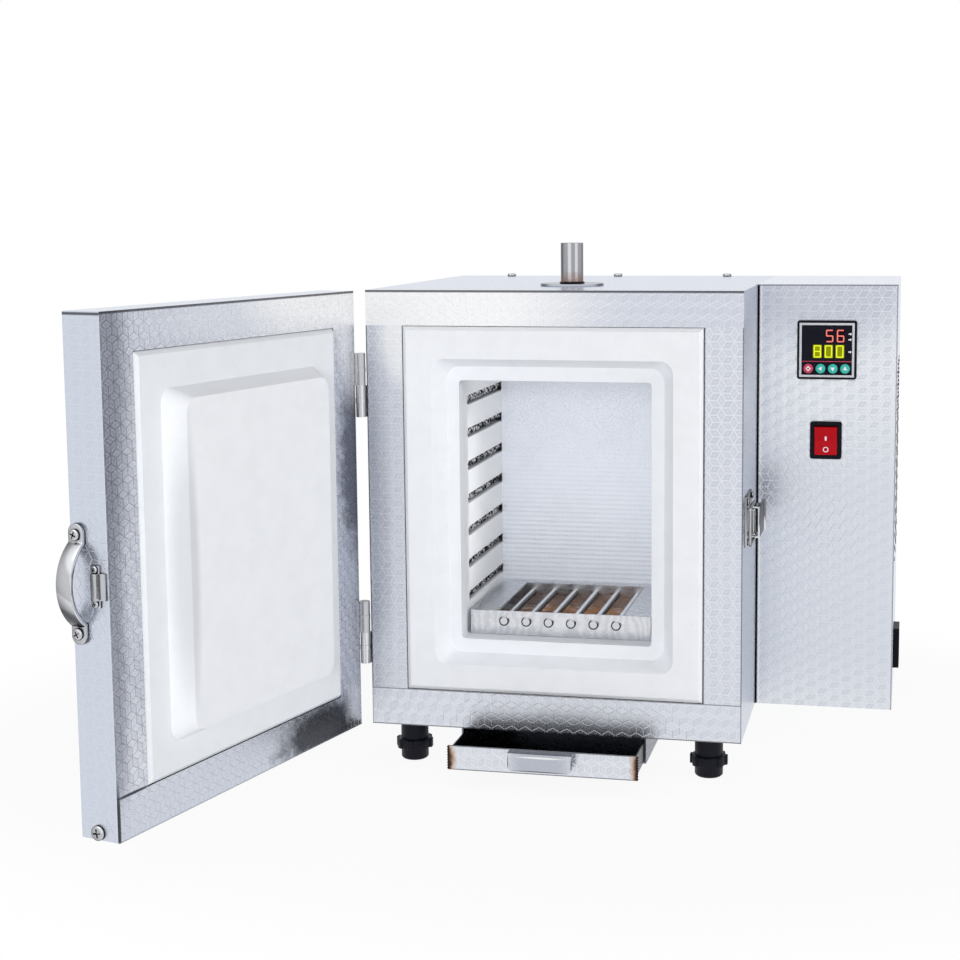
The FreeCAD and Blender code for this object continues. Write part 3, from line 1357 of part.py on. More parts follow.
def mains_inlet():
    """Mains inlet: flange and body with a socket, and three blades in it."""
    flange = block("inlet_flange", (CONTROL_RIGHT, f"{CONTROL_RIGHT} + inlet_proud"),
                   about(INLET_Y, "inlet_width"), about(INLET_Z, "inlet_height"))
    case = block("inlet_case", (f"{CONTROL_RIGHT} - inlet_depth", CONTROL_RIGHT),
                 about(INLET_Y, "inlet_width - 2 * inlet_rim"),
                 about(INLET_Z, "inlet_height - 2 * inlet_rim"))
    floor = f"{CONTROL_RIGHT} + inlet_proud - socket_depth"
    socket = block("inlet_socket", (floor, f"{CONTROL_RIGHT} + inlet_proud + 1"),
                   about(INLET_Y, "socket_width"), about(INLET_Z, "socket_height"))
    keep("power_inlet", cut("power_inlet", joined("inlet_solid", flange, case), socket))
    blades = []
    for n, shift in enumerate((0, 1, 0)):
        rise = f"({INLET_Z} + blade_pitch * {n - 1})"
        back = f"({INLET_Y} + blade_width * {shift})"
        blades.append(block(f"inlet_blade_{n}", (floor, f"{floor} + blade_length"),
                            about(back, "blade_height"), about(rise, "blade_width")))
    keep("inlet_blades", gathered("inlet_blades", *blades))


def relay():
    """Solid-state relay on a finned heat sink against the control box's rear."""
    rise = (f"{UNDER} + relay_rise", f"{UNDER} + relay_rise + relay_height")
    across = about(CONTROL_MIDDLE, "relay_width")
    back = f"({REAR} - sheet)"
    base_front = f"({back} - sink_depth - sink_base)"
    pieces = [block("sink_base_plate", across, (base_front, f"{base_front} + sink_base"), rise)]
    for n in range(SINK_FINS):
        middle = f"({CONTROL_MIDDLE} + sink_pitch * {n - (SINK_FINS - 1) / 2})"
        pieces.append(block(f"sink_fin_{n}", about(middle, "sink_fin"), (base_front, back), rise))
    keep("relay_heat_sink", joined("heat_sink", *pieces))
    keep("solid_state_relay", block("relay_body", across, (f"{base_front} - relay_depth", base_front), rise))


def terminal_block():
    body = block("terminal_body", about(CONTROL_MIDDLE, "block_width"),
                 (f"{REAR} - sheet - block_depth", f"{REAR} - sheet"),
                 (f"{UNDER} + block_rise", f"{UNDER} + block_rise + block_height"))
    keep("terminal_block", body)


def build():
    """Make every sub-part in order, from the cabinet outwards."""
    fill_sheet()
    cabinet_shell()
    front_strips()
    base_plate()
    rear_cover()
    roof_screws()
    front_collar()
    muffle_walls()
    muffle_boards()
    insulation()
    heater_wires()
    heater_terminals()
    probe()
    drain_tube()
    flue()
    rack()
    drawer()
    drawer_channel()
    foot_sleeves()
    for spot, centre in FEET.items():
        foot(spot, centre)
    hinge_pieces()
    door_shell()
    door_strips()
    door_board()
    door_plug()
    door_wool()
    door_handle()
    catch_plate()
    door_edge_screws()
    latch_base()
    latch_fasteners()
    latch_lever()
    latch_bail()
    control_case()
    control_side()
    control_panel()
    controller()
    mains_switch()
    mains_inlet()
    relay()
    terminal_block()
    doc.recompute()


def check():
    """Stop if any object failed to compute or any sub-part is empty or invalid."""
    for thing in doc.Objects:
        if "Invalid" in thing.State or "Error" in thing.State:
            raise RuntimeError(f"{thing.Label} did not compute: {thing.State}")
    for piece in parts:
        if piece.Shape.isNull() or not piece.Shape.Solids or not piece.Shape.isValid():
            raise RuntimeError(f"{piece.Label} has no valid solid")


def write():
    """Write each sub-part to its own file."""
    os.makedirs("parts", exist_ok=True)
    for piece in parts:
        piece.Shape.exportStep(f"parts/{piece.Label}.step")
        box = piece.Shape.BoundBox
        print(f"{piece.Label}: {len(piece.Shape.Solids)} solid(s), {piece.Shape.Volume / 1000:.1f} cm3, "
              f"x {box.XMin:.1f}..{box.XMax:.1f}, y {box.YMin:.1f}..{box.YMax:.1f}, "
              f"z {box.ZMin:.1f}..{box.ZMax:.1f}")


build()
check()
write()
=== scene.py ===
"""Looks of the bench burnout furnace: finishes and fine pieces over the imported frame."""

from __future__ import annotations

import logging
import math
from collections.abc import Iterator
from contextlib import contextmanager
from dataclasses import dataclass, field
from enum import Enum

import bpy
from mathutils import Matrix, Vector

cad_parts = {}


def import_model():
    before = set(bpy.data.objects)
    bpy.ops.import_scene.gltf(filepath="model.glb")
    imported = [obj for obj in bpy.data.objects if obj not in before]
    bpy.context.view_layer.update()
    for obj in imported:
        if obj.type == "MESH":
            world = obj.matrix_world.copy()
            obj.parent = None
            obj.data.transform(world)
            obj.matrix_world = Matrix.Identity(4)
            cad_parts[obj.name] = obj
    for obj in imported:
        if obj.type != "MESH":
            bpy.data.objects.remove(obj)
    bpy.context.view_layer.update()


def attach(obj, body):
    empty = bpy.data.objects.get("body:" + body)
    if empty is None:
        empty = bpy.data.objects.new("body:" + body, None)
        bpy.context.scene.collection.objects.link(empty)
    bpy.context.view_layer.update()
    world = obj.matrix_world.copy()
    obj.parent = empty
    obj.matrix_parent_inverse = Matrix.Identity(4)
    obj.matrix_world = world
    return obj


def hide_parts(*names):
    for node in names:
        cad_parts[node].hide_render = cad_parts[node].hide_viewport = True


LOG = logging.getLogger("furnace")
MM = 0.001
Colour = tuple[float, float, float]
Socket = bpy.types.NodeSocket
Node = bpy.types.Node
Tree = bpy.types.NodeTree
Piece = bpy.types.Object


def tone(red: int, green: int, blue: int) -> Colour:
    """Turn a display colour into the linear values that shaders use."""
    return tuple(
        c / 255 / 12.92 if c <= 10 else ((c / 255 + 0.055) / 1.055) ** 2.4
        for c in (red, green, blue)
    )


class Axis(Enum):
    """An axis of the furnace, with the turn that lays a Z cylinder along it."""

    X = (0.0, math.pi / 2, 0.0)
    Y = (-math.pi / 2, 0.0, 0.0)
    Z = (0.0, 0.0, 0.0)


# Shader building


class Graph:
    """A node tree with short ways to add nodes and join their sockets."""

    def __init__(self, tree: Tree) -> None:
        """Keep the tree that nodes are added to."""
        self.tree = tree

    def add(self, kind: str, **settings: object) -> Node:
        """Add a node and set its properties."""
        node = self.tree.nodes.new("ShaderNode" + kind)
        for name, setting in settings.items():
            setattr(node, name, setting)
        return node

    def put(self, socket: Socket, value: object) -> None:
        """Link a socket into an input, or set a plain value on it."""
        if isinstance(value, Socket):
            self.tree.links.new(value, socket)
        elif isinstance(value, tuple) and len(value) == 3 and socket.type == "RGBA":
            socket.default_value = (*value, 1.0)
        else:
            socket.default_value = value

    def fill(self, node: Node, inputs: dict[str, object]) -> None:
        """Put sockets or plain values on a node's inputs by name."""
        for name, value in inputs.items():
            self.put(node.inputs[name], value)

    def math(self, operation: str, first: object, second: object = 0.0) -> Socket:
        """Calculate with one or two values, each a socket or a number."""
        node = self.add("Math", operation=operation)
        self.put(node.inputs[0], first)
        self.put(node.inputs[1], second)
        return node.outputs[0]

    def plus(self, first: object, second: object) -> Socket:
        """Add two values."""
        return self.math("ADD", first, second)

    def minus(self, first: object, second: object) -> Socket:
        """Take the second value from the first one."""
        return self.math("SUBTRACT", first, second)

    def times(self, first: object, second: object) -> Socket:
        """Multiply two values."""
        return self.math("MULTIPLY", first, second)

    def lerp(self, share: object, first: object, second: object) -> Socket:
        """Go from the first value to the second one by a share."""
        return self.plus(first, self.times(share, self.minus(second, first)))

    def fade(self, value: object, low: float, high: float, start: float = 0.0, end: float = 1.0) -> Socket:
        """Run smoothly from start to end while a value goes from low to high."""
        node = self.add("MapRange", interpolation_type="SMOOTHSTEP")
        for number, part in enumerate((value, low, high, start, end)):
            self.put(node.inputs[number], part)
        return node.outputs[0]

    def mix(self, share: object, first: object, second: object) -> Socket:
        """Mix a share of the second colour into the first one."""
        node = self.add("Mix", data_type="RGBA")
        for number, part in ((0, share), (6, first), (7, second)):
            self.put(node.inputs[number], part)
        return node.outputs[2]

    def noise(self, place: object, scale: float, detail: float = 2.0, rough: float = 0.5) -> Socket:
        """Make smooth random values in space, with a number of cells per metre."""
        node = self.add("TexNoise")
        self.fill(node, {"Vector": place, "Scale": scale, "Detail": detail, "Roughness": rough})
        return node.outputs[0]

    def vector(self, operation: str, first: object, second: object = (0.0, 0.0, 0.0)) -> Node:
        """Calculate with one or two vectors."""
        node = self.add("VectorMath", operation=operation)
        self.put(node.inputs[0], first)
        self.put(node.inputs[1], second)
        return node

    def stretched(self, place: object, factors: Colour) -> Socket:
        """Multiply coordinates along each axis, for grain that runs one way."""
        return self.vector("MULTIPLY", place, factors).outputs[0]

    def split(self, vector: object) -> list[Socket]:
        """Take a vector apart into its X, Y and Z sockets."""
        node = self.add("SeparateXYZ")
        self.put(node.inputs[0], vector)
        return list(node.outputs)

    def bump(self, height: object, depth: float, normal: object = None) -> Socket:
        """Turn a height from 0 to 1, of a depth in metres, into a normal."""
        node = self.add("Bump")
        self.fill(node, {"Distance": depth, "Height": height})
        if normal is not None:
            self.put(node.inputs["Normal"], normal)
        return node.outputs[0]

    def painted_contact_shade(self, colour: object, distance: float, share: float = 0.95) -> Socket:
        """Paint shade into a colour where pieces meet, as in the narrow gaps around fittings."""
        node = self.add("AmbientOcclusion", samples=8)
        self.put(node.inputs["Distance"], distance)
        return self.mix(self.fade(node.outputs["AO"], 0.25, 0.8, share, 0.0), colour, tone(20, 21, 28))

    def use(self, group: Tree, **inputs: object) -> Node:
        """Place an effect group and fill its inputs."""
        node = self.add("Group", node_tree=group)
        self.fill(node, inputs)
        return node


class Effect:
    """A node group that several finishes share, built once."""

    title = ""
    takes: tuple[tuple[str, str], ...] = ()
    gives: tuple[str, ...] = ()
    _built: dict[str, Tree] = {}

    @classmethod
    def tree(cls) -> Tree:
        """Return the group, and build it the first time."""
        if cls.title not in Effect._built:
            tree = bpy.data.node_groups.new(cls.title, "ShaderNodeTree")
            for name, kind in cls.takes:
                tree.interface.new_socket(name=name, in_out="INPUT", socket_type="NodeSocket" + kind)
            for name in cls.gives:
                tree.interface.new_socket(name=name, in_out="OUTPUT", socket_type="NodeSocketFloat")
            graph = Graph(tree)
            source = tree.nodes.new("NodeGroupInput")
            sink = tree.nodes.new("NodeGroupOutput")
            for name, socket in cls.wire(graph, source.outputs).items():
                tree.links.new(socket, sink.inputs[name])
            Effect._built[cls.title] = tree
        return Effect._built[cls.title]

    @classmethod
    def wire(cls, graph: Graph, given: object) -> dict[str, Socket]:
        """Wire the effect's nodes and return its outputs by name."""
        raise NotImplementedError


class CubeEmboss(Effect):
    """The sheet's pressed pattern: stacked rhombi that read as tumbling cubes, with a painted shade on each
    facet.
    """

    title = "cube_emboss"
    takes = (("Place", "Vector"), ("Normal", "Vector"), ("Edge", "Float"), ("Turn", "Float"))
    gives = ("Line", "Inner", "FacetShade")

    @classmethod
    def wire(cls, graph: Graph, given: object) -> dict[str, Socket]:
        """Lay the pattern on whichever plane the face lies in."""
        x, y, z = graph.split(given["Place"])
        nx, _, nz = graph.split(given["Normal"])
        on_side = graph.math("GREATER_THAN", graph.math("ABSOLUTE", nx), 0.5)
        on_top = graph.math("GREATER_THAN", graph.math("ABSOLUTE", nz), 0.5)
        level = graph.lerp(on_side, x, y)
        upright = graph.lerp(on_top, z, y)
        across = graph.math("DIVIDE", graph.lerp(given["Turn"], level, upright), given["Edge"])
        along = graph.math("DIVIDE", graph.lerp(given["Turn"], upright, level), given["Edge"])
        lean = 3 ** 0.5 / 2
        cells = []
        for shift in (0.0, 0.5):
            u = graph.math("FLOORED_MODULO", graph.plus(across, 3 * shift), 3.0)
            u = graph.minus(u, 1.5)
            v = graph.math("FLOORED_MODULO", graph.plus(along, 2 * lean * shift), 2 * lean)
            v = graph.minus(v, lean)
            reach = graph.plus(graph.times(u, u), graph.times(v, v))
            cells.append((u, v, reach))
        (u1, v1, r1), (u2, v2, r2) = cells
        nearer = graph.math("LESS_THAN", r2, r1)
        u, v = graph.lerp(nearer, u1, u2), graph.lerp(nearer, v1, v2)
        au, av = graph.math("ABSOLUTE", u), graph.math("ABSOLUTE", v)
        slant = graph.plus(graph.times(au, lean), graph.times(av, 0.5))
        rim = graph.minus(lean, graph.math("MAXIMUM", slant, av))
        far = 9.0
        right = graph.plus(av, graph.times(graph.math("LESS_THAN", u, 0.0), far))
        lean_v = graph.plus(graph.times(u, lean), graph.times(av, 0.5))
        ahead = graph.minus(graph.times(av, lean), graph.times(u, 0.5))
        behind = graph.times(graph.math("LESS_THAN", ahead, 0.0), far)
        spoke = graph.plus(graph.math("ABSOLUTE", lean_v), behind)
        gap = graph.math("MINIMUM", rim, graph.math("MINIMUM", right, spoke))
        line = graph.fade(gap, 0.012, 0.065, 1.0, 0.0)
        inner = graph.fade(graph.math("ABSOLUTE", graph.minus(gap, 0.2)), 0.01, 0.05, 1.0, 0.0)
        # Painted shade: each facet of the cubes gets its own tone, as its tilt would catch the light.
        diamond = graph.math("LESS_THAN", lean_v, 0.0)
        upper = graph.math("GREATER_THAN", v, 0.0)
        shade = graph.plus(graph.times(upper, 0.45), 0.3)
        face = graph.math("MAXIMUM", diamond, shade)
        return {"Line": line, "Inner": inner, "FacetShade": face}


class Handling(Effect):
    """Cloudy smears and fine scratches left by handling and wiping."""

    title = "handling"
    takes = (("Place", "Vector"), ("Size", "Float"))
    gives = ("Cloud", "Grain")

    @classmethod
    def wire(cls, graph: Graph, given: object) -> dict[str, Socket]:
        """Combine a broad cloud and a fine grain."""
        cloud = graph.noise(given["Place"], 1.0, 3.0, 0.6)
        graph.put(cloud.node.inputs["Scale"], given["Size"])
        fine = graph.noise(given["Place"], 900.0, 3.0, 0.7)
        return {"Cloud": graph.fade(cloud, 0.3, 0.7), "Grain": fine}


class Halo(Effect):
    """A soft ragged patch around a point, for heat tint, stains and painted light and shade."""

    title = "halo"
    takes = (("Place", "Vector"), ("Centre", "Vector"), ("Reach", "Vector"), ("Ragged", "Float"))
    gives = ("Mask",)

    @classmethod
    def wire(cls, graph: Graph, given: object) -> dict[str, Socket]:
        """Fade out with the distance, measured in reaches along each axis."""
        apart = graph.vector("SUBTRACT", given["Place"], given["Centre"]).outputs[0]
        length = graph.vector("LENGTH", graph.vector("DIVIDE", apart, given["Reach"]).outputs[0])
        uneven = graph.minus(graph.noise(given["Place"], 130.0, 5.0, 0.65), 0.5)
        ragged = graph.times(uneven, given["Ragged"])
        return {"Mask": graph.fade(graph.plus(length.outputs["Value"], ragged), 0.4, 1.0, 1.0, 0.0)}


class Banding(Effect):
    """Dark bands over a curved bright surface, as its surroundings mirror in it."""

    title = "banding"
    takes = (("Normal", "Vector"), ("Spread", "Vector"))
    gives = ("Dark",)

    @classmethod
    def wire(cls, graph: Graph, given: object) -> dict[str, Socket]:
        """Let the tone swing with the way that the surface faces."""
        sway = graph.vector("DOT_PRODUCT", given["Normal"], given["Spread"])
        wave = graph.math("COSINE", sway.outputs["Value"])
        return {"Dark": graph.fade(wave, 0.5, -0.1)}


# Finishes

WIDE = 4000.0


@dataclass(frozen=True)
class Shade:
    """A soft patch, stain or line on a finish, as an ellipsoid in millimetres: a real stain or seam, or
    painted shade, highlight or reflection.
    """

    centre: Colour
    reach: Colour
    colour: Colour
    share: float = 0.8
    ragged: float = 0.0
    over: bool = False


@dataclass(frozen=True)
class Finish:
    """A surface finish, made as one material and shared by the pieces that have it."""

    name: str
    door: bool = field(default=False, kw_only=True)
    shades: tuple[Shade, ...] = field(default=(), kw_only=True)

    def material(self) -> bpy.types.Material:
        """Return the finish's material, and make it the first time."""
        name = f"look_{self.name}"
        made = bpy.data.materials.get(name)
        if made is None:
            made = bpy.data.materials.new(name)
            made.use_nodes = True
            self.wire(Graph(made.node_tree), made.node_tree.nodes["Principled BSDF"])
        return made

    def wire(self, graph: Graph, surface: Node) -> None:
        """Wire the finish into the surface shader."""
        raise NotImplementedError

    def places(self, graph: Graph) -> tuple[Socket, Socket]:
        """Return the coordinates and normal, turned back to the closed door's for its finishes.

        Args:
            graph: The material's nodes.

        Returns:
            The sockets of the place and of the normal.
        """
        coordinates = graph.add("TexCoord")
        sockets = []
        for output, pivot in (("Object", Door.PIVOT), ("Normal", (0.0, 0.0, 0.0))):
            socket = coordinates.outputs[output]
            if self.door:
                node = graph.add("VectorRotate", rotation_type="Z_AXIS")
                graph.fill(node, {"Vector": socket, "Center": pivot, "Angle": math.radians(Door.OPEN)})
                socket = node.outputs[0]
            sockets.append(socket)
        return tuple(sockets)

    def laid(self, graph: Graph, place: object, colour: object, over: bool) -> object:
        """Lay the finish's shades on a colour."""
        for shade in self.shades:
            if shade.over == over:
                mask = graph.use(Halo.tree(), Place=place, Centre=scaled(shade.centre),
                                 Reach=scaled(shade.reach), Ragged=shade.ragged).outputs["Mask"]
                colour = graph.mix(graph.times(mask, shade.share), colour, shade.colour)
        return colour


def scaled(spot: Colour) -> Colour:
    """Turn millimetres into metres."""
    return tuple(part * MM for part in spot)


def dimmed(colour: Colour, share: float) -> Colour:
    """Return a colour at a share of its brightness."""
    return tuple(part * share for part in colour)


@dataclass(frozen=True)
class EmbossedSteel(Finish):
    """Bright sheet steel pressed with the cube pattern, with painted shade on its facets and painted
    highlight or shade on its lines.
    """

    colour: Colour
    dark: Colour
    edge: float = 6.5 * MM
    contrast: float = 0.5
    lines: float = 0.25
    # Painted highlight or shade on the pressed lines: ridge colours the lines, groove the inner lines.
    ridge: Colour = tone(250, 251, 253)
    groove: Colour = tone(118, 123, 140)
    turn: bool = False
    roughness: float = 0.26

    def wire(self, graph: Graph, surface: Node) -> None:
        """Paint shade on the pattern's faces, paint its lines as highlight or shade, and press them into the
        normal.
        """
        place, normal = self.places(graph)
        emboss = graph.use(CubeEmboss.tree(), Place=place, Normal=normal, Edge=self.edge,
                           Turn=float(self.turn)).outputs
        wear = graph.use(Handling.tree(), Place=place, Size=9.0).outputs
        share = graph.times(graph.minus(1.0, emboss["FacetShade"]), self.contrast)
        colour = graph.mix(share, self.colour, self.dark)
        colour = graph.mix(graph.times(wear["Cloud"], 0.14), colour, self.dark)
        # The finish's shades, painted light and shade patches as well as real stains and seams, go under the
        # lines here and over them below.
        colour = self.laid(graph, place, colour, False)
        strength = graph.fade(wear["Cloud"], 0.1, 0.9, self.lines * 0.6, self.lines)
        # The lines painted as highlight or shade.
        colour = graph.mix(graph.times(emboss["Inner"], graph.times(strength, 0.5)), colour, self.groove)
        colour = graph.mix(graph.times(emboss["Line"], strength), colour, self.ridge)
        # Painted shade in the gaps where the sheet meets other pieces.
        graph.fill(surface, {
            "Base Color": graph.painted_contact_shade(self.laid(graph, place, colour, True), 1.3 * MM),
            "Metallic": 1.0,
            "Roughness": graph.fade(wear["Grain"], 0.2, 0.8, self.roughness - 0.06, self.roughness + 0.1),
            "Normal": graph.bump(graph.minus(1.0, emboss["Line"]), 0.1 * MM),
        })


@dataclass(frozen=True)
class Steel(Finish):
    """Plain steel, from brushed to polished, with handling marks, painted shade on turned-away rims and in
    contact gaps, and painted reflection bands.
    """

    colour: Colour
    roughness: float = 0.2
    brushed: Colour = (1.0, 1.0, 1.0)
    marks: float = 0.12
    rim: float = 0.0
    swirls: float = 0.0
    bands: float = 0.0
    spread: Colour = (9.0, 6.0, 7.0)

    def wire(self, graph: Graph, surface: Node) -> None:
        """Vary the colour and roughness with a grain that may run one way."""
        place, normal = self.places(graph)
        wear = graph.use(Handling.tree(), Place=place, Size=14.0)
        grain = graph.noise(graph.stretched(place, self.brushed), 420.0, 4.0, 0.65)
        share = graph.times(graph.plus(wear.outputs["Cloud"], grain), self.marks)
        colour = graph.mix(share, self.colour, dimmed(self.colour, 0.62))
        if self.swirls:
            rings = graph.add("TexWave", wave_type="RINGS", rings_direction="Z")
            graph.fill(rings, {"Vector": place, "Scale": 62.0, "Distortion": 7.0, "Detail": 3.0,
                               "Detail Scale": 1.4})
            sweep = graph.times(graph.fade(rings.outputs["Fac"], 0.2, 0.8), self.swirls)
            colour = graph.mix(sweep, colour, dimmed(self.colour, 0.5))
        # Painted reflection: dark bands that swing with the way the surface faces.
        if self.bands:
            mirror = graph.use(Banding.tree(), Normal=normal, Spread=self.spread).outputs["Dark"]
            colour = graph.mix(graph.times(mirror, self.bands), colour, tone(44, 45, 54))
        colour = self.laid(graph, place, colour, False)
        # Painted shade: darker where the surface turns away from view, and in the gaps where it meets other
        # pieces.
        if self.rim:
            facing = graph.add("LayerWeight")
            facing.inputs["Blend"].default_value = 0.5
            turned = graph.fade(facing.outputs["Facing"], 0.2, 0.55, 0.0, self.rim)
            colour = graph.painted_contact_shade(graph.mix(turned, colour, tone(30, 31, 40)), 1.8 * MM)
        graph.fill(surface, {
            "Base Color": self.laid(graph, place, colour, True),
            "Metallic": 1.0,
            "Roughness": graph.fade(grain, 0.25, 0.75, self.roughness * 0.75, self.roughness * 1.35),
            "Normal": graph.bump(grain, 0.02 * MM),
        })


class Weave(Enum):
    """How a fibre board's face was formed."""

    SMOOTH = 0
    DASHED = 1


@dataclass(frozen=True)
class Fibre(Finish):
    """White vacuum-formed ceramic fibre."""

    colour: Colour = tone(244, 246, 250)
    face: Weave = Weave.SMOOTH
    row: float = 4.1
    column: float = 2.2
    rows_up_to: float = 270.0

    def wire(self, graph: Graph, surface: Node) -> None:
        """Mottle the board, print the forming screen on it and add its stains."""
        place, _ = self.places(graph)
        mottle = graph.noise(place, 55.0, 5.0, 0.6)
        fuzz = graph.noise(place, 1500.0, 4.0, 0.75)
        colour = graph.mix(graph.fade(mottle, 0.35, 0.75, 0.0, 0.5), self.colour, dimmed(self.colour, 0.93))
        pits = graph.fade(graph.noise(place, 330.0, 2.0, 0.5), 0.72, 0.78, 0.0, 0.3)
        colour = graph.mix(pits, colour, tone(206, 206, 210))
        normal = graph.bump(fuzz, 0.12 * MM)
        if self.face is Weave.DASHED:
            mark = self.dashes(graph, place)
            colour = graph.mix(graph.times(mark, 0.3), colour, tone(168, 178, 198))
            normal = graph.bump(mark, -0.4 * MM, normal)
        colour = self.laid(graph, place, colour, False)
        graph.fill(surface, {
            "Base Color": self.laid(graph, place, colour, True),
            "Roughness": graph.fade(fuzz, 0.2, 0.8, 0.85, 1.0),
            "Normal": normal,
        })

    def dashes(self, graph: Graph, place: object) -> Socket:
        """Print the forming screen: dashes in rows that turn into a stipple further up."""
        x, _, z = graph.split(place)
        stipple = graph.noise(place, 980.0, 3.0, 0.6)
        rows = graph.math("SINE", graph.times(z, math.tau / (self.row * MM)))
        columns = graph.math("SINE", graph.times(x, math.tau / (self.column * MM)))
        wave = graph.plus(graph.times(rows, 1.3), graph.times(columns, 0.7))
        dashes = graph.fade(graph.plus(wave, stipple), 1.1, 2.0)
        speck = graph.fade(stipple, 0.5, 0.7, 0.0, 0.7)
        low = graph.fade(z, 0.55 * self.rows_up_to * MM, self.rows_up_to * MM, 1.0, 0.0)
        return graph.lerp(low, speck, dashes)


@dataclass(frozen=True)
class Wool(Finish):
    """Loose mineral wool in long tangled fibres."""

    colour: Colour = tone(226, 222, 208)

    def wire(self, graph: Graph, surface: Node) -> None:
        """Draw long fibres and deep soft gaps."""
        place, _ = self.places(graph)
        strands = graph.noise(graph.stretched(place, (1.0, 0.3, 2.4)), 260.0, 6.0, 0.7)
        shade = graph.fade(strands, 0.35, 0.65)
        graph.fill(surface, {
            "Base Color": graph.mix(shade, dimmed(self.colour, 0.6), self.colour),
            "Normal": graph.bump(strands, 1.5 * MM),
            "Roughness": 1.0,
        })


@dataclass(frozen=True)
class Moulded(Finish):
    """Moulded plastic, rubber or glazed ceramic with a fine spark-eroded grain."""

    colour: Colour
    roughness: float = 0.4
    grain: float = 0.05
    coat: float = 0.0
    shine: float = 0.3

    def wire(self, graph: Graph, surface: Node) -> None:
        """Give the moulding a grain, a little dust and a dull or glossy skin."""
        place, _ = self.places(graph)
        grain = graph.noise(place, 1100.0, 3.0, 0.6)
        dust = graph.noise(place, 60.0, 4.0, 0.6)
        pale = tuple(part * 0.85 + 0.004 for part in self.colour)
        graph.fill(surface, {
            "Base Color": graph.mix(graph.fade(dust, 0.5, 0.8, 0.0, 0.35), self.colour, pale),
            "Roughness": graph.fade(grain, 0.3, 0.7, self.roughness * 0.85, min(1.0, self.roughness * 1.2)),
            "Normal": graph.bump(grain, self.grain * MM),
            "Specular IOR Level": self.shine,
            "Coat Weight": self.coat,
            "Coat Roughness": 0.08,
        })


@dataclass(frozen=True)
class Lit(Finish):
    """A lit part of the display."""

    colour: Colour
    strength: float = 1.0

    def wire(self, graph: Graph, surface: Node) -> None:
        """Glow evenly, a little brighter in places."""
        place, _ = self.places(graph)
        flicker = graph.noise(place, 700.0, 1.0, 0.4)
        bright = tuple(min(1.0, part * 1.25) for part in self.colour)
        graph.fill(surface, {
            "Emission Color": graph.mix(graph.fade(flicker, 0.35, 0.65), self.colour, bright),
            "Emission Strength": self.strength,
            "Base Color": dimmed(self.colour, 0.05),
            "Specular IOR Level": 0.03,
            "Roughness": 0.5,
        })


@dataclass(frozen=True)
class Wire(Finish):
    """Heater wire with a dark scale and lighter worn crests."""

    def wire(self, graph: Graph, surface: Node) -> None:
        """Mix scale and bare metal."""
        place, _ = self.places(graph)
        scale = graph.noise(place, 330.0, 4.0, 0.6)
        graph.fill(surface, {
            "Base Color": graph.mix(graph.fade(scale, 0.47, 0.56), tone(22, 21, 26), tone(236, 236, 240)),
            "Metallic": graph.fade(scale, 0.45, 0.65, 0.2, 0.5),
            "Roughness": 0.45,
            "Normal": graph.bump(scale, 0.05 * MM),
        })


WHITE = tone(251, 251, 252)
INK = tone(50, 50, 60)
PALE = tone(216, 219, 229)
SOFT = tone(200, 206, 219)


def sheet_edge(axis: Axis, at: float, colour: Colour, width: float = 1.6, share: float = 0.85) -> Shade:
    """Paint the dark shade line or bright highlight line that shows along a folded or cut sheet edge."""
    turn = (Axis.X, Axis.Y, Axis.Z).index(axis)
    centre = tuple(at if n == turn else 0.0 for n in range(3))
    reach = tuple(width if n == turn else WIDE for n in range(3))
    return Shade(centre, reach, colour, share, over=True)


# The embossed sheets are copies of one steel whose colours differ with how lit or shaded each part looks:
# painted light and shade.
TOP_STEEL = EmbossedSteel("embossed_top_strip", PALE, SOFT, turn=True, shades=(
    # Painted reflection: a white patch over the strip's upper left; painted shade: a dark line along the top
    # edge.
    Shade((-130.0, 0.0, 375.0), (205.0, 60.0, 70.0), WHITE, 0.95, over=True),
    sheet_edge(Axis.Z, 387.0, INK, 1.8),
))
BOTTOM_STEEL = EmbossedSteel("embossed_bottom_strip", tone(224, 227, 235), SOFT, turn=True, shades=(
    # Painted shade: dark lines along the strip's edges.
    sheet_edge(Axis.Z, 34.6, INK, 1.1, 0.7),
    sheet_edge(Axis.X, -150.2, INK, 1.0, 0.7),
    sheet_edge(Axis.X, 150.2, tone(80, 82, 94), 1.2, 0.7),
    sheet_edge(Axis.Z, 65.0, tone(96, 98, 110), 1.3, 0.7),
))
SIDE_STEEL = EmbossedSteel("embossed_side_strips", tone(220, 223, 232), SOFT, lines=0.45, shades=(
    # Painted reflection and shade: a darker band down the left strip, a white patch near its upper inner
    # corner, and dark lines along the strips' edges.
    Shade((-154.0, 0.0, 190.0), (27.0, 60.0, 210.0), tone(150, 155, 168), 0.42, 0.3),
    Shade((-122.0, 0.0, 350.0), (22.0, 30.0, 50.0), WHITE, 0.8, over=True),
    sheet_edge(Axis.X, -150.3, INK),
    sheet_edge(Axis.X, -119.6, tone(120, 122, 132), 1.0, 0.6),
    sheet_edge(Axis.X, 119.6, tone(70, 72, 84), 1.6),
    sheet_edge(Axis.X, 150.3, tone(80, 82, 94), 1.4),
))
PANEL_STEEL = EmbossedSteel("embossed_panel", tone(236, 239, 244), tone(200, 206, 218), contrast=0.6,
                            lines=0.42, shades=(
    # Painted shade: the panel darker towards the top; a paler even tone over the lower part calms the pattern
    # there; painted highlight: a white line inside the left edge; painted shade: the black gap line at the
    # left edge and grey lines at the top and right edges.
    Shade((206.0, 117.0, 395.0), (110.0, 60.0, 80.0), tone(180, 184, 200), 0.6),
    Shade((206.0, 117.0, 150.0), (WIDE, 60.0, 150.0), tone(208, 213, 224), 0.6, over=True),
    sheet_edge(Axis.X, 152.6, WHITE, 1.3, 0.6),
    sheet_edge(Axis.X, 150.2, tone(14, 14, 20), 2.0, 1.0),
    sheet_edge(Axis.Z, 387.3, tone(110, 112, 124), 1.2, 0.8),
    sheet_edge(Axis.X, 262.8, tone(120, 122, 134), 1.0, 0.7),
))
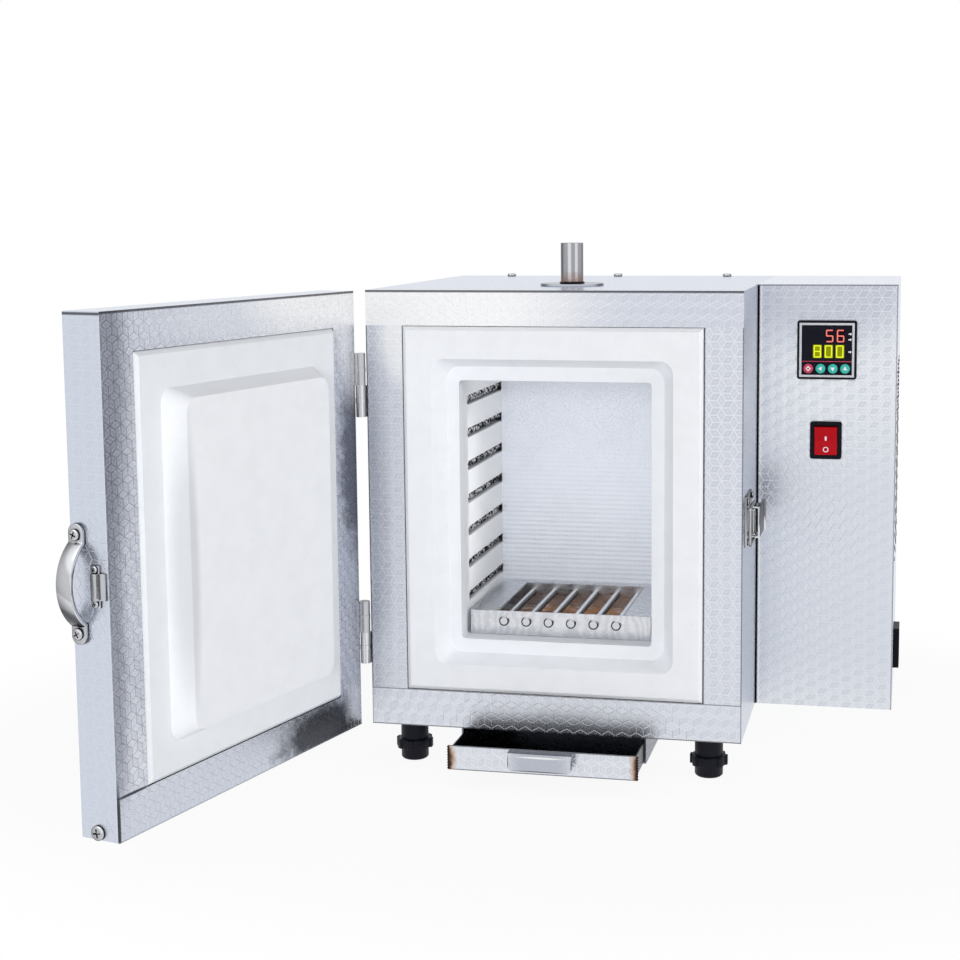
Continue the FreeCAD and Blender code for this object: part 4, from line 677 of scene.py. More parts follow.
DOOR_STEEL = EmbossedSteel("embossed_door_strips", tone(220, 223, 232), tone(184, 189, 202), lines=0.5,
                           ridge=tone(66, 68, 78), groove=tone(240, 241, 246), turn=True, door=True,
                           edge=6.2 * MM, shades=(
    # Painted reflections and shade: dark bands down the free-edge and hinge-side strips, pale and white
    # patches along the top, a calmer bottom strip with a dark patch and a lighter patch near the hinge.
    Shade((156.0, -5.0, 350.0), (40.0, 60.0, 190.0), tone(116, 120, 134), 0.8, 0.2),
    Shade((156.0, -5.0, 160.0), (26.0, 60.0, 220.0), tone(124, 128, 142), 0.7, 0.4),
    Shade((-150.0, -5.0, 250.0), (34.0, 60.0, 100.0), tone(84, 88, 104), 0.85, 0.8),
    Shade((-30.0, -5.0, 378.0), (170.0, 60.0, 34.0), tone(230, 233, 239), 0.9, over=True),
    Shade((-100.0, -5.0, 382.0), (115.0, 60.0, 36.0), WHITE, 0.95, 0.3, over=True),
    Shade((-150.0, -5.0, 350.0), (30.0, 60.0, 66.0), WHITE, 0.85, 0.4, over=True),
    Shade((40.0, -5.0, 44.0), (230.0, 60.0, 36.0), tone(207, 212, 223), 0.9, over=True),
    Shade((-98.0, -5.0, 46.0), (84.0, 60.0, 27.0), tone(58, 59, 68), 0.95, 0.7, True),
    Shade((-154.0, -5.0, 56.0), (34.0, 60.0, 30.0), tone(228, 230, 235), 0.95, 0.5, True),
    # Dark seam lines where the strips join at the lower corner.
    Shade((135.0, -5.0, 65.4), (26.0, 60.0, 1.5), INK, 0.95, 0.2, True),
    Shade((149.6, -5.0, 48.0), (1.6, 60.0, 34.0), INK, 0.95, over=True),
    # Painted shade: a dark line along the top edge and a grey line along the bottom edge.
    sheet_edge(Axis.Z, 386.6, INK, 1.8),
    sheet_edge(Axis.Z, 35.0, tone(150, 152, 162), 1.2, 0.6),
))
PAN_STEEL = EmbossedSteel("embossed_door_pan", tone(210, 217, 229), tone(202, 208, 222), lines=0.12,
                          door=True, shades=(
    # Painted highlight: a white line down the free edge; painted shade: a dark line along the top edge.
    Shade((150.4, -4.6, 210.0), (2.8, 2.8, WIDE), WHITE, 1.0, over=True),
    sheet_edge(Axis.Z, 385.4, INK, 1.3),
))
SHELL_STEEL = EmbossedSteel("embossed_shell", tone(214, 221, 233), tone(206, 213, 227), lines=0.12, shades=(
    # Painted shade: the right side face and the roof darker, and a black gap line where the side meets the
    # control box.
    Shade((151.0, 55.0, 210.0), (3.0, 130.0, 400.0), tone(204, 210, 223), 0.9, 0.3),
    Shade((0.0, 150.0, 388.0), (WIDE, WIDE, 5.0), tone(204, 211, 225), 1.0, over=True),
    Shade((150.0, 117.0, 210.0), (3.0, 4.0, WIDE), tone(16, 16, 22), 1.0, over=True),
))
CASE_STEEL = EmbossedSteel("embossed_case", tone(220, 226, 237), tone(210, 217, 230), lines=0.12)
DRAWER_STEEL = EmbossedSteel("embossed_drawer", tone(226, 229, 236), tone(210, 214, 224), lines=0.35,
                             turn=True, shades=(
    # The tab painted darker; painted shade: dark outline lines along the front's and the tab's edges; painted
    # highlight: a white line near the tab's top.
    Shade((0.0, -53.0, 25.0), (34.0, 9.4, 24.0), tone(182, 186, 197), 0.9, over=True),
    sheet_edge(Axis.Z, 33.4, INK, 0.8),
    sheet_edge(Axis.Z, 14.1, INK, 1.0, 0.7),
) + tuple(
    Shade((side * 25.4, -52.4, 25.0), (1.1, 9.0, 9.0), INK, 0.9, over=True) for side in (-1, 1)
) + (
    Shade((0.0, -52.4, 18.9), (30.0, 2.0, 1.0), INK, 0.8, over=True),
    Shade((0.0, -52.4, 30.2), (24.0, 2.0, 1.0), WHITE, 0.9, over=True),
) + tuple(
    Shade((side * 75.3, -43.0, 24.0), reach, colour, 0.95, ragged, True)
    for side in (-1, 1)
    for reach, colour, ragged in (((8.0, 30.0, 20.0), tone(190, 152, 126), 0.9),
                                  ((4.4, 30.0, 20.0), tone(60, 46, 40), 1.0))
))
PALE_STEEL = Steel("pale_sheet", tone(208, 217, 235), roughness=0.34, marks=0.06)
CHANNEL_STEEL = Steel("channel_steel", tone(126, 129, 141), roughness=0.3, marks=0.3)
TRAY_STEEL = Steel("tray_steel", tone(62, 63, 72), roughness=0.3, marks=0.3)
# In the steels below, rim paints shade on faces turned away from view and bands paint reflections as dark
# bands on curved faces.
BRIGHT = Steel("bright_fittings", tone(240, 241, 245), roughness=0.2, marks=0.12, rim=0.9, bands=0.35)
LATCH_STEEL = Steel("latch_steel", tone(246, 247, 249), roughness=0.18, marks=0.3, rim=0.95, bands=0.75)
DOOR_BRIGHT = Steel("bright_door_fittings", tone(240, 241, 245), roughness=0.2, marks=0.12, rim=0.9,
                    bands=0.35, door=True)
RACK_STEEL = Steel("brushed_rack", tone(228, 230, 235), roughness=0.3, brushed=(0.25, 1.0, 1.0), marks=0.22,
                   swirls=0.25)
# Painted reflection: the bands give the round bars bright tops and dark sides.
BAR_STEEL = Steel("rack_bars", tone(246, 247, 249), bands=0.95, spread=(2.7, 0.0, 0.0), shades=(
    Shade((0.0, 28.3, 117.3), (WIDE, 1.2, WIDE), tone(208, 210, 216), 1.0, over=True),
))
FLUE_STEEL = Steel("flue_steel", tone(222, 223, 228), roughness=0.2, rim=0.8, bands=0.5, shades=(
    Shade((0.0, 88.0, 389.0), (15.0, 15.0, 13.0), tone(150, 96, 62), 0.85, 0.9, True),
    Shade((0.0, 88.0, 389.0), (13.0, 13.0, 5.0), tone(30, 25, 25), 0.9, 0.9, True),
))
FLANGE_STEEL = Steel("flange_steel", tone(206, 210, 220), roughness=0.2, rim=0.8, shades=(
    Shade((0.0, 88.0, 389.5), (16.0, 16.0, 6.0), tone(110, 76, 58), 0.8, 0.9, True),
))
WELD = Steel("burnt_weld", tone(52, 46, 48), roughness=0.35, marks=0.8, rim=0.8)
# Painted shade: the vent lips are near black, standing for the shade in the slots behind them.
LOUVRE_SHADE = Steel("louvre_shadow", tone(34, 35, 44), roughness=0.4, marks=0.3)
FIBRE = Fibre("fibre_board")
# Painted shade: the door board is a slightly darker copy of the fibre.
FIBRE_DOOR = Fibre("fibre_door_board", colour=tone(238, 241, 245))
# Painted shade: the plug's bevel on the free-edge side darker.
FIBRE_PLUG = Fibre("fibre_door_plug", door=True, shades=(
    Shade((86.0, -5.0, 210.0), (12.0, 60.0, 128.0), tone(214, 216, 221), 0.85, 0.1),
))
# Painted shade: the back wall is a darker copy of the fibre, also bluer.
FIBRE_BACK = Fibre("fibre_back_wall", colour=tone(222, 226, 234), face=Weave.DASHED)
# Painted light: the side walls are a lighter copy of the fibre; painted shade: dark bands in the heater
# grooves.
FIBRE_SIDE = Fibre("fibre_side_wall", colour=tone(250, 251, 252), shades=tuple(
    Shade((side * 85.0, 90.0, 215.0), (7.8, WIDE, WIDE), tone(104, 102, 108), 0.6, 0.25) for side in (-1, 1)
))
FIBRE_FLOOR = Fibre("fibre_floor", shades=(
    Shade((0.0, 100.0, 105.0), (95.0, 75.0, 30.0), tone(196, 142, 98), 0.95, 1.6),
    Shade((-20.0, 70.0, 105.0), (60.0, 55.0, 30.0), tone(40, 32, 30), 0.95, 2.2),
))
WOOL = Wool("mineral_wool")
FOOT = Moulded("foot_plastic", tone(16, 17, 27), roughness=0.4, shine=0.16)
BLACK = Moulded("black_plastic", tone(14, 15, 24), roughness=0.4, shine=0.1)
WINDOW = Moulded("display_window", tone(16, 16, 30), roughness=0.2, grain=0.0, shine=0.08)
RED = Moulded("red_rocker", tone(186, 2, 20), roughness=0.3, grain=0.02, shine=0.15)
PORCELAIN = Moulded("porcelain", tone(236, 230, 216), roughness=0.3, coat=0.5)
ALUMINIUM = Steel("heat_sink", tone(196, 198, 202), roughness=0.4)
BRASS = Steel("brass", tone(206, 176, 110), roughness=0.25)
WHITE_INK = Moulded("white_ink", tone(244, 244, 248), roughness=0.5, grain=0.0)
TEAL = Moulded("teal_button", tone(60, 186, 172), roughness=0.35)
PINK = Moulded("pink_button", tone(196, 70, 96), roughness=0.35)
SILVER = Moulded("silver_line", tone(206, 207, 212), roughness=0.4)
RED_LIGHT = Lit("red_segments", tone(255, 128, 116), 1.0)
RED_GLOW = Lit("red_glow", tone(36, 14, 26), 0.8)
GREEN_LIGHT = Lit("green_segments", tone(232, 244, 52), 1.0)
GREEN_GLOW = Lit("green_glow", tone(138, 146, 10), 0.9)
HEATER = Wire("heater_wire")


# Modelling by hand


class Bench:
    """The modelling moves that every piece is made with."""

    SHARP = 40.0
    WELDED = 0.002

    @staticmethod
    def clear() -> None:
        """Leave edit mode and deselect everything."""
        if bpy.context.object and bpy.context.object.mode != "OBJECT":
            bpy.ops.object.mode_set(mode="OBJECT")
        bpy.ops.object.select_all(action="DESELECT")

    @staticmethod
    def pick(*pieces: Piece) -> None:
        """Select pieces only, with the first one active."""
        Bench.clear()
        for piece in pieces:
            piece.select_set(True)
        bpy.context.view_layer.objects.active = pieces[0]

    @staticmethod
    @contextmanager
    def editing() -> Iterator[None]:
        """Work in edit mode on everything in the active piece."""
        bpy.ops.object.mode_set(mode="EDIT")
        bpy.ops.mesh.select_all(action="SELECT")
        yield
        bpy.ops.object.mode_set(mode="OBJECT")

    @staticmethod
    def placed() -> Piece:
        """Return the primitive just added, with its place, turn and size applied."""
        bpy.ops.object.transform_apply()
        return bpy.context.object

    @staticmethod
    def box(low: Colour, high: Colour) -> Piece:
        """Add a block between two corners in millimetres."""
        Bench.clear()
        middle = [(a + b) / 2 * MM for a, b in zip(low, high)]
        size = [(b - a) * MM for a, b in zip(low, high)]
        bpy.ops.mesh.primitive_cube_add(size=1, location=middle, scale=size)
        return Bench.placed()

    @staticmethod
    def rod(centre: Colour, radius: float, length: float, axis: Axis = Axis.Z, sides: int = 32) -> Piece:
        """Add a round bar around its middle, in millimetres, along an axis."""
        Bench.clear()
        bpy.ops.mesh.primitive_cylinder_add(vertices=sides, radius=radius * MM, depth=length * MM,
                                            location=scaled(centre), rotation=axis.value)
        return Bench.placed()

    @staticmethod
    def ring(centre: Colour, radius: float, wire: float, axis: Axis = Axis.Z, sides: int = 40) -> Piece:
        """Add a round bead around an axis, with its own radius as its wire, in millimetres."""
        Bench.clear()
        bpy.ops.mesh.primitive_torus_add(major_radius=radius * MM, minor_radius=wire * MM,
                                         major_segments=sides, minor_segments=10,
                                         location=scaled(centre), rotation=axis.value)
        return Bench.placed()

    @staticmethod
    def soften(piece: Piece, width: float, segments: int = 2) -> Piece:
        """Bevel a piece's sharp edges and apply it."""
        Bench.pick(piece)
        bevel = piece.modifiers.new("bevel", "BEVEL")
        bevel.width = width * MM
        bevel.segments = segments
        bevel.limit_method = "ANGLE"
        bevel.angle_limit = math.radians(Bench.SHARP)
        bevel.use_clamp_overlap = True
        bpy.ops.object.modifier_apply(modifier=bevel.name)
        return piece

    @staticmethod
    def carve(piece: Piece, *cutters: Piece) -> Piece:
        """Cut other pieces out of one and remove them."""
        for cutter in cutters:
            Bench.pick(piece)
            cut = piece.modifiers.new("carve", "BOOLEAN")
            cut.object = cutter
            cut.operation = "DIFFERENCE"
            cut.solver = "EXACT"
            bpy.ops.object.modifier_apply(modifier=cut.name)
            bpy.data.objects.remove(cutter)
        return piece

    @staticmethod
    def merged(pieces: list[Piece]) -> Piece:
        """Join several pieces into one object."""
        Bench.pick(*pieces)
        if len(pieces) > 1:
            bpy.ops.object.join()
        return bpy.context.object

    @staticmethod
    def copied(piece: Piece, move: Matrix) -> Piece:
        """Copy a piece with its own mesh and move the copy."""
        Bench.pick(piece)
        bpy.ops.object.duplicate()
        copy = bpy.context.object
        copy.matrix_world = move @ copy.matrix_world
        bpy.ops.object.transform_apply()
        return copy

    @staticmethod
    def taken(node: str) -> Piece:
        """Copy a CAD node as a free object with its loose triangles merged."""
        source = bpy.data.objects[node]
        copy = source.copy()
        copy.data = source.data.copy()
        copy.parent = None
        copy.matrix_world = Matrix.Identity(4)
        for key in list(copy.keys()):
            del copy[key]
        bpy.context.scene.collection.objects.link(copy)
        Bench.pick(copy)
        with Bench.editing():
            bpy.ops.mesh.remove_doubles(threshold=Bench.WELDED * MM)
        return copy

    @staticmethod
    def islands(node: str, turn: Matrix) -> list[tuple[Vector, Vector]]:
        """Measure the separate solids of a CAD node.

        Args:
            node: The node.
            turn: The turn into the frame that they are measured in.

        Returns:
            The lowest and highest corner of each one in millimetres.
        """
        Bench.taken(node)
        with Bench.editing():
            bpy.ops.mesh.separate(type="LOOSE")
        boxes = []
        for part in list(bpy.context.selected_objects):
            spots = list(zip(*(turn @ vertex.co / MM for vertex in part.data.vertices)))
            boxes.append((Vector(map(min, spots)), Vector(map(max, spots))))
            bpy.data.objects.remove(part)
        return boxes

    @staticmethod
    def moved(piece: Piece, move: Matrix) -> Piece:
        """Move a piece and keep its place in its mesh."""
        Bench.pick(piece)
        piece.matrix_world = move @ piece.matrix_world
        bpy.ops.object.transform_apply()
        return piece

    @staticmethod
    def ragged(piece: Piece, amount: float, seed: int) -> Piece:
        """Roughen a piece's surface, as on a weld."""
        Bench.pick(piece)
        with Bench.editing():
            bpy.ops.transform.vertex_random(offset=amount * MM, seed=seed)
        return piece

    @staticmethod
    def stuck(piece: Piece, node: str, x: float, z: float) -> None:
        """Lay a mark, made flat in X and Z at the origin, on a node's front at a place in millimetres."""
        origin = Vector((x * MM, -1.0, z * MM))
        hit, spot, normal, _ = bpy.data.objects[node].ray_cast(origin, Vector((0.0, 1.0, 0.0)))
        if not hit:
            raise ValueError(f"nothing of {node} at {x}, {z}")
        turn = normal.to_track_quat("-Y", "Z").to_matrix().to_4x4()
        Bench.moved(piece, Matrix.Translation(spot) @ turn)

    @staticmethod
    def finish(piece: Piece, name: str, body: str, finish: Finish, slot: str, *stands_for: str,
               angle: float = 35.0) -> None:
        """Name, shade, dress and hang a finished piece.

        Args:
            piece: The piece.
            name: Its name.
            body: The body that it rides on.
            finish: Its finish.
            slot: Not used.
            *stands_for: CAD nodes that it replaces.
            angle: Edges sharper than this stay sharp.
        """
        Bench.pick(piece)
        bpy.ops.object.transform_apply()
        piece.name = name
        piece.data.name = name
        piece.data.materials.clear()
        piece.data.materials.append(finish.material())
        bpy.ops.object.shade_smooth_by_angle(angle=math.radians(angle))
        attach(piece, body)
        if stands_for:
            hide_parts(*stands_for)
        LOG.info("made %s on %s", name, body)

    @staticmethod
    def eased(node: str, name: str, body: str, finish: Finish, slot: str, width: float,
              segments: int = 2) -> None:
        """Copy a CAD node, ease its edges as the real piece's are, and let the copy stand for it."""
        copy = Bench.taken(node)
        with Bench.editing():
            bpy.ops.mesh.dissolve_limited(angle_limit=math.radians(1.0))
        Bench.soften(copy, width, segments)
        Bench.finish(copy, name, body, finish, slot, node)


def dress(finish: Finish, *nodes: str) -> None:
    """Give CAD nodes their finish."""
    for node in nodes:
        mesh = bpy.data.objects[node].data
        mesh.materials.clear()
        mesh.materials.append(finish.material())
    LOG.info("dressed %s", ", ".join(nodes))


# Sub-assemblies


@dataclass(frozen=True)
class CrossScrew:
    """A pan-head screw with a cross recess, in millimetres."""

    head: float
    height: float
    shank: float
    length: float

    def build(self, place: Matrix) -> Piece:
        """Make the screw with its seat at a place and its head along the place's Z."""
        cap = Bench.rod((0.0, 0.0, self.height / 2), self.head, self.height, sides=40)
        Bench.soften(cap, self.height * 0.42, 3)
        reach, slot = self.head * 0.6, self.head * 0.13
        deep, top = self.height * 0.35, self.height + 1.0
        Bench.carve(cap, Bench.box((-reach, -slot, deep), (reach, slot, top)),
                    Bench.box((-slot, -reach, deep), (slot, reach, top)))
        stem = Bench.rod((0.0, 0.0, -self.length / 2), self.shank, self.length, sides=16)
        return Bench.moved(Bench.merged([cap, stem]), place)


@dataclass(frozen=True)
class ScrewSet:
    """All the screws of one CAD node."""

    node: str
    name: str
    body: str
    finish: Finish
    axis: Axis
    opened: bool = False
    small_head: float = 3.0

    def build(self) -> None:
        """Replace each solid of the node by a screw with a recess, or by a pin where it is long."""
        turn = Door.turn() if self.opened else Matrix.Identity(4)
        pieces = []
        for low, high in Bench.islands(self.node, turn.inverted()):
            middle, size = (low + high) / 2, high - low
            if size.z > 2 * size.y:
                pin = Bench.rod(middle, size.y / 2, size.z)
                pieces.append(Bench.soften(pin, 0.3))
                continue
            along = 0 if self.axis is Axis.X else 2
            head = size.y / 2
            small = head < self.small_head
            height = 1.6 if small else 2.4
            seat = middle.copy()
            seat[along] = high[along] - height
            lie = Matrix.Rotation(math.pi / 2, 4, "Y") if along == 0 else Matrix.Identity(4)
            spin = Matrix.Rotation(0.5 + 0.7 * len(pieces), 4, "Z")
            screw = CrossScrew(head, height, 1.25 if small else 2.0, size[along] - height)
            pieces.append(screw.build(turn @ Matrix.Translation(seat * MM) @ lie @ spin))
        Bench.finish(Bench.merged(pieces), self.name, self.body, self.finish, "bright_fittings", self.node)


@dataclass
class Cabinet:
    """Shell, mouth strips, cover and feet."""

    foot_edge: float = 0.5
    foot_spots: tuple[str, ...] = ("front_left", "front_right", "rear_left", "rear_right")

    def build(self) -> None:
        """Dress the cabinet's sheets and make its feet and roof screws."""
        dress(TOP_STEEL, "front_strip_top")
        dress(BOTTOM_STEEL, "front_strip_bottom")
        dress(SIDE_STEEL, "front_strips_side")
        dress(SHELL_STEEL, "cabinet_shell")
        dress(CASE_STEEL, "rear_cover")
        dress(PALE_STEEL, "base_plate")
        dress(FOOT, "foot_sleeves")
        for spot in self.foot_spots:
            foot = f"foot_{spot}"
            Bench.eased(foot, f"turned_{foot}", foot, FOOT, "foot_metal", self.foot_edge)
        ScrewSet("roof_screws", "recessed_roof_screws", "cabinet", BRIGHT, Axis.Z).build()


@dataclass
class Chamber:
    """Fibre lining, heater coils, probe and drain."""

    first: float = 134.5
    pitch: float = 27.0
    grooves: int = 7
    side: float = 82.4
    front: float = 41.0
    back: float = 156.0
    coil: float = 2.6
    wire: float = 0.85
    turn: float = 7.2

    def build(self) -> None:
        """Dress the lining and wind the heater coils."""
        dress(FIBRE, "front_collar", "muffle_roof")
        dress(FIBRE_SIDE, "muffle_side_walls")
        dress(FIBRE_BACK, "muffle_back")
        dress(FIBRE_FLOOR, "muffle_floor")
        dress(WOOL, "wool_blanket", "door_wool")
        dress(PORCELAIN, "thermocouple", "heater_terminals")
        dress(PALE_STEEL, "drain_tube")
        self.coils()

    def coils(self) -> None:
        """Wind one coil with the screw modifier and copy it into every groove."""
        Bench.clear()
        bpy.ops.mesh.primitive_circle_add(vertices=6, radius=self.wire * MM)
        coil = bpy.context.object
        with Bench.editing():
            bpy.ops.transform.translate(value=(self.coil * MM, 0.0, 0.0))
        winding = coil.modifiers.new("winding", "SCREW")
        winding.axis = "Y"
        winding.screw_offset = self.turn * MM
        winding.iterations = round((self.back - self.front) / self.turn)
        winding.steps = winding.render_steps = 12
        winding.use_normal_calculate = True
        bpy.ops.object.modifier_apply(modifier=winding.name)
        pieces = []
        for side in (-1, 1):
            for groove in range(self.grooves):
                place = (side * self.side, self.front, self.first + self.pitch * groove)
                pieces.append(Bench.copied(coil, Matrix.Translation(scaled(place))))
        bpy.data.objects.remove(coil)
        Bench.finish(Bench.merged(pieces), "heater_coils", "cabinet", HEATER, "heater_wire", "heater_wires",
                     angle=80.0)


@dataclass
class Rack:
    """Removable rack of round bars."""

    bars: int = 6
    pitch: float = 18.5
    height: float = 117.3
    front: float = 28.4
    ring: float = 3.5
    bead: float = 0.45
    open_above: float = 2.4
    rough: float = 0.12

    def build(self) -> None:
        """Dress the rack and weld its bar ends."""
        dress(RACK_STEEL, "rack_frame")
        dress(BAR_STEEL, "rack_bars")
        rings = []
        for bar in range(self.bars):
            across = self.pitch * (bar - (self.bars - 1) / 2)
            ring = Bench.ring((across, self.front, self.height), self.ring, self.bead, Axis.Y)
            Bench.pick(ring)
            with Bench.editing():
                bpy.ops.mesh.bisect(plane_co=scaled((across, self.front, self.height + self.open_above)),
                                    plane_no=(0.25, 0.0, 1.0), clear_outer=True, use_fill=True)
            rings.append(Bench.ragged(ring, self.rough, bar))
        Bench.finish(Bench.merged(rings), "rack_welds", "rack", WELD, "rack_steel")


@dataclass
class Door:
    """The door, with its board, plug, handle and catch."""

    PIVOT = (-154.3 * MM, -2.5 * MM, 0.0)
    OPEN = 104.0

    @classmethod
    def turn(cls) -> Matrix:
        """Return the turn that opens the closed door."""
        pivot = Matrix.Translation(cls.PIVOT)
        return pivot @ Matrix.Rotation(-math.radians(cls.OPEN), 4, "Z") @ pivot.inverted()

    def build(self) -> None:
        """Dress the door's sheets and boards, and make its fittings."""
        dress(DOOR_STEEL, "door_strips")
        dress(PAN_STEEL, "door_shell")
        dress(FIBRE_DOOR, "door_board")
        dress(FIBRE_PLUG, "door_plug")
        dress(BRIGHT, "hinge_cabinet_leaves", "hinge_pins")
        dress(DOOR_BRIGHT, "hinge_door_leaves")
        Bench.eased("door_handle", "arched_handle", "door", DOOR_BRIGHT, "bright_fittings", 0.8, 3)
        Bench.eased("catch_plate", "bent_catch", "door", DOOR_BRIGHT, "bright_fittings", 0.35)
        ScrewSet("door_edge_screws", "recessed_door_screws", "door", DOOR_BRIGHT, Axis.X, opened=True).build()


@dataclass
class Latch:
    """Toggle latch on the right side."""

    def build(self) -> None:
        """Ease the stampings' edges and make the screws."""
        for node, body, width in (("latch_base", "cabinet", 0.35), ("latch_lever", "latch_lever", 0.5)):
            Bench.eased(node, f"stamped_{node}", body, LATCH_STEEL, "bright_fittings", width)
        dress(LATCH_STEEL, "latch_bail")
        ScrewSet("latch_fasteners", "recessed_latch_screws", "cabinet", LATCH_STEEL, Axis.X).build()


@dataclass
class Drawer:
    """Wax drawer and its channel."""

    side: float = 75.0
    face: float = -43.1
    low: float = 15.4
    high: float = 32.2
    beads: int = 9
    bead: float = 0.85
    rough: float = 0.22

    def build(self) -> None:
        """Dress the drawer and weld its front corners."""
        dress(TRAY_STEEL, "drawer_tray")
        dress(CHANNEL_STEEL, "drawer_channel")
        dress(DRAWER_STEEL, "drawer_front")
        beads = []
        for side in (-1, 1):
            for step in range(self.beads):
                height = self.low + (self.high - self.low) * step / (self.beads - 1)
                Bench.clear()
                bpy.ops.mesh.primitive_uv_sphere_add(segments=14, ring_count=9, radius=self.bead * MM,
                                                     location=scaled((side * self.side, self.face, height)))
                beads.append(Bench.ragged(Bench.placed(), self.rough, step + 20 * (side + 1)))
        Bench.finish(Bench.merged(beads), "drawer_welds", "drawer", WELD, "drawer_steel")


@dataclass
class Flue:
    """Flue tube with its flange."""

    centre: Colour = (0.0, 88.0, 390.1)
    radius: float = 9.5
    bead: float = 0.85

    def build(self) -> None:
        """Dress the flue and weld its foot."""
        dress(FLUE_STEEL, "flue_tube")
        dress(FLANGE_STEEL, "flue_flange")
        weld = Bench.ragged(Bench.ring(self.centre, self.radius, self.bead, sides=64), 0.22, 7)
        Bench.finish(weld, "flue_weld", "cabinet", WELD, "bright_fittings")


class Segment(Enum):
    """The bars of a seven-segment digit: middle across, middle up, and whether it lies flat."""

    TOP = (0.0, 1.0, True)
    MIDDLE = (0.0, 0.0, True)
    BOTTOM = (0.0, -1.0, True)
    UPPER_LEFT = (-1.0, 0.5, False)
    UPPER_RIGHT = (1.0, 0.5, False)
    LOWER_LEFT = (-1.0, -0.5, False)
    LOWER_RIGHT = (1.0, -0.5, False)


@dataclass(frozen=True)
class Digit:
    """A lit seven-segment digit, in millimetres."""

    width: float = 5.0
    height: float = 9.2
    stroke: float = 1.0
    thick: float = 0.2
    without: tuple[Segment, ...] = ()

    def build(self) -> Piece:
        """Make the digit flat in X and Z around the origin."""
        bars = []
        for segment in Segment:
            if segment in self.without:
                continue
            across, up, flat = segment.value
            half_x = self.width / 2 if flat else self.stroke / 2
            half_z = self.stroke / 2 if flat else self.height / 4
            x, z = across * self.width / 2, up * self.height / 2
            bar = Bench.box((x - half_x, -self.thick, z - half_z), (x + half_x, 0.0, z + half_z))
            bars.append(Bench.soften(bar, self.stroke * 0.3))
        return Bench.merged(bars)


FIVE = (Segment.UPPER_RIGHT, Segment.LOWER_LEFT)
SIX = (Segment.UPPER_RIGHT,)
EIGHT = ()
ZERO = (Segment.MIDDLE,)


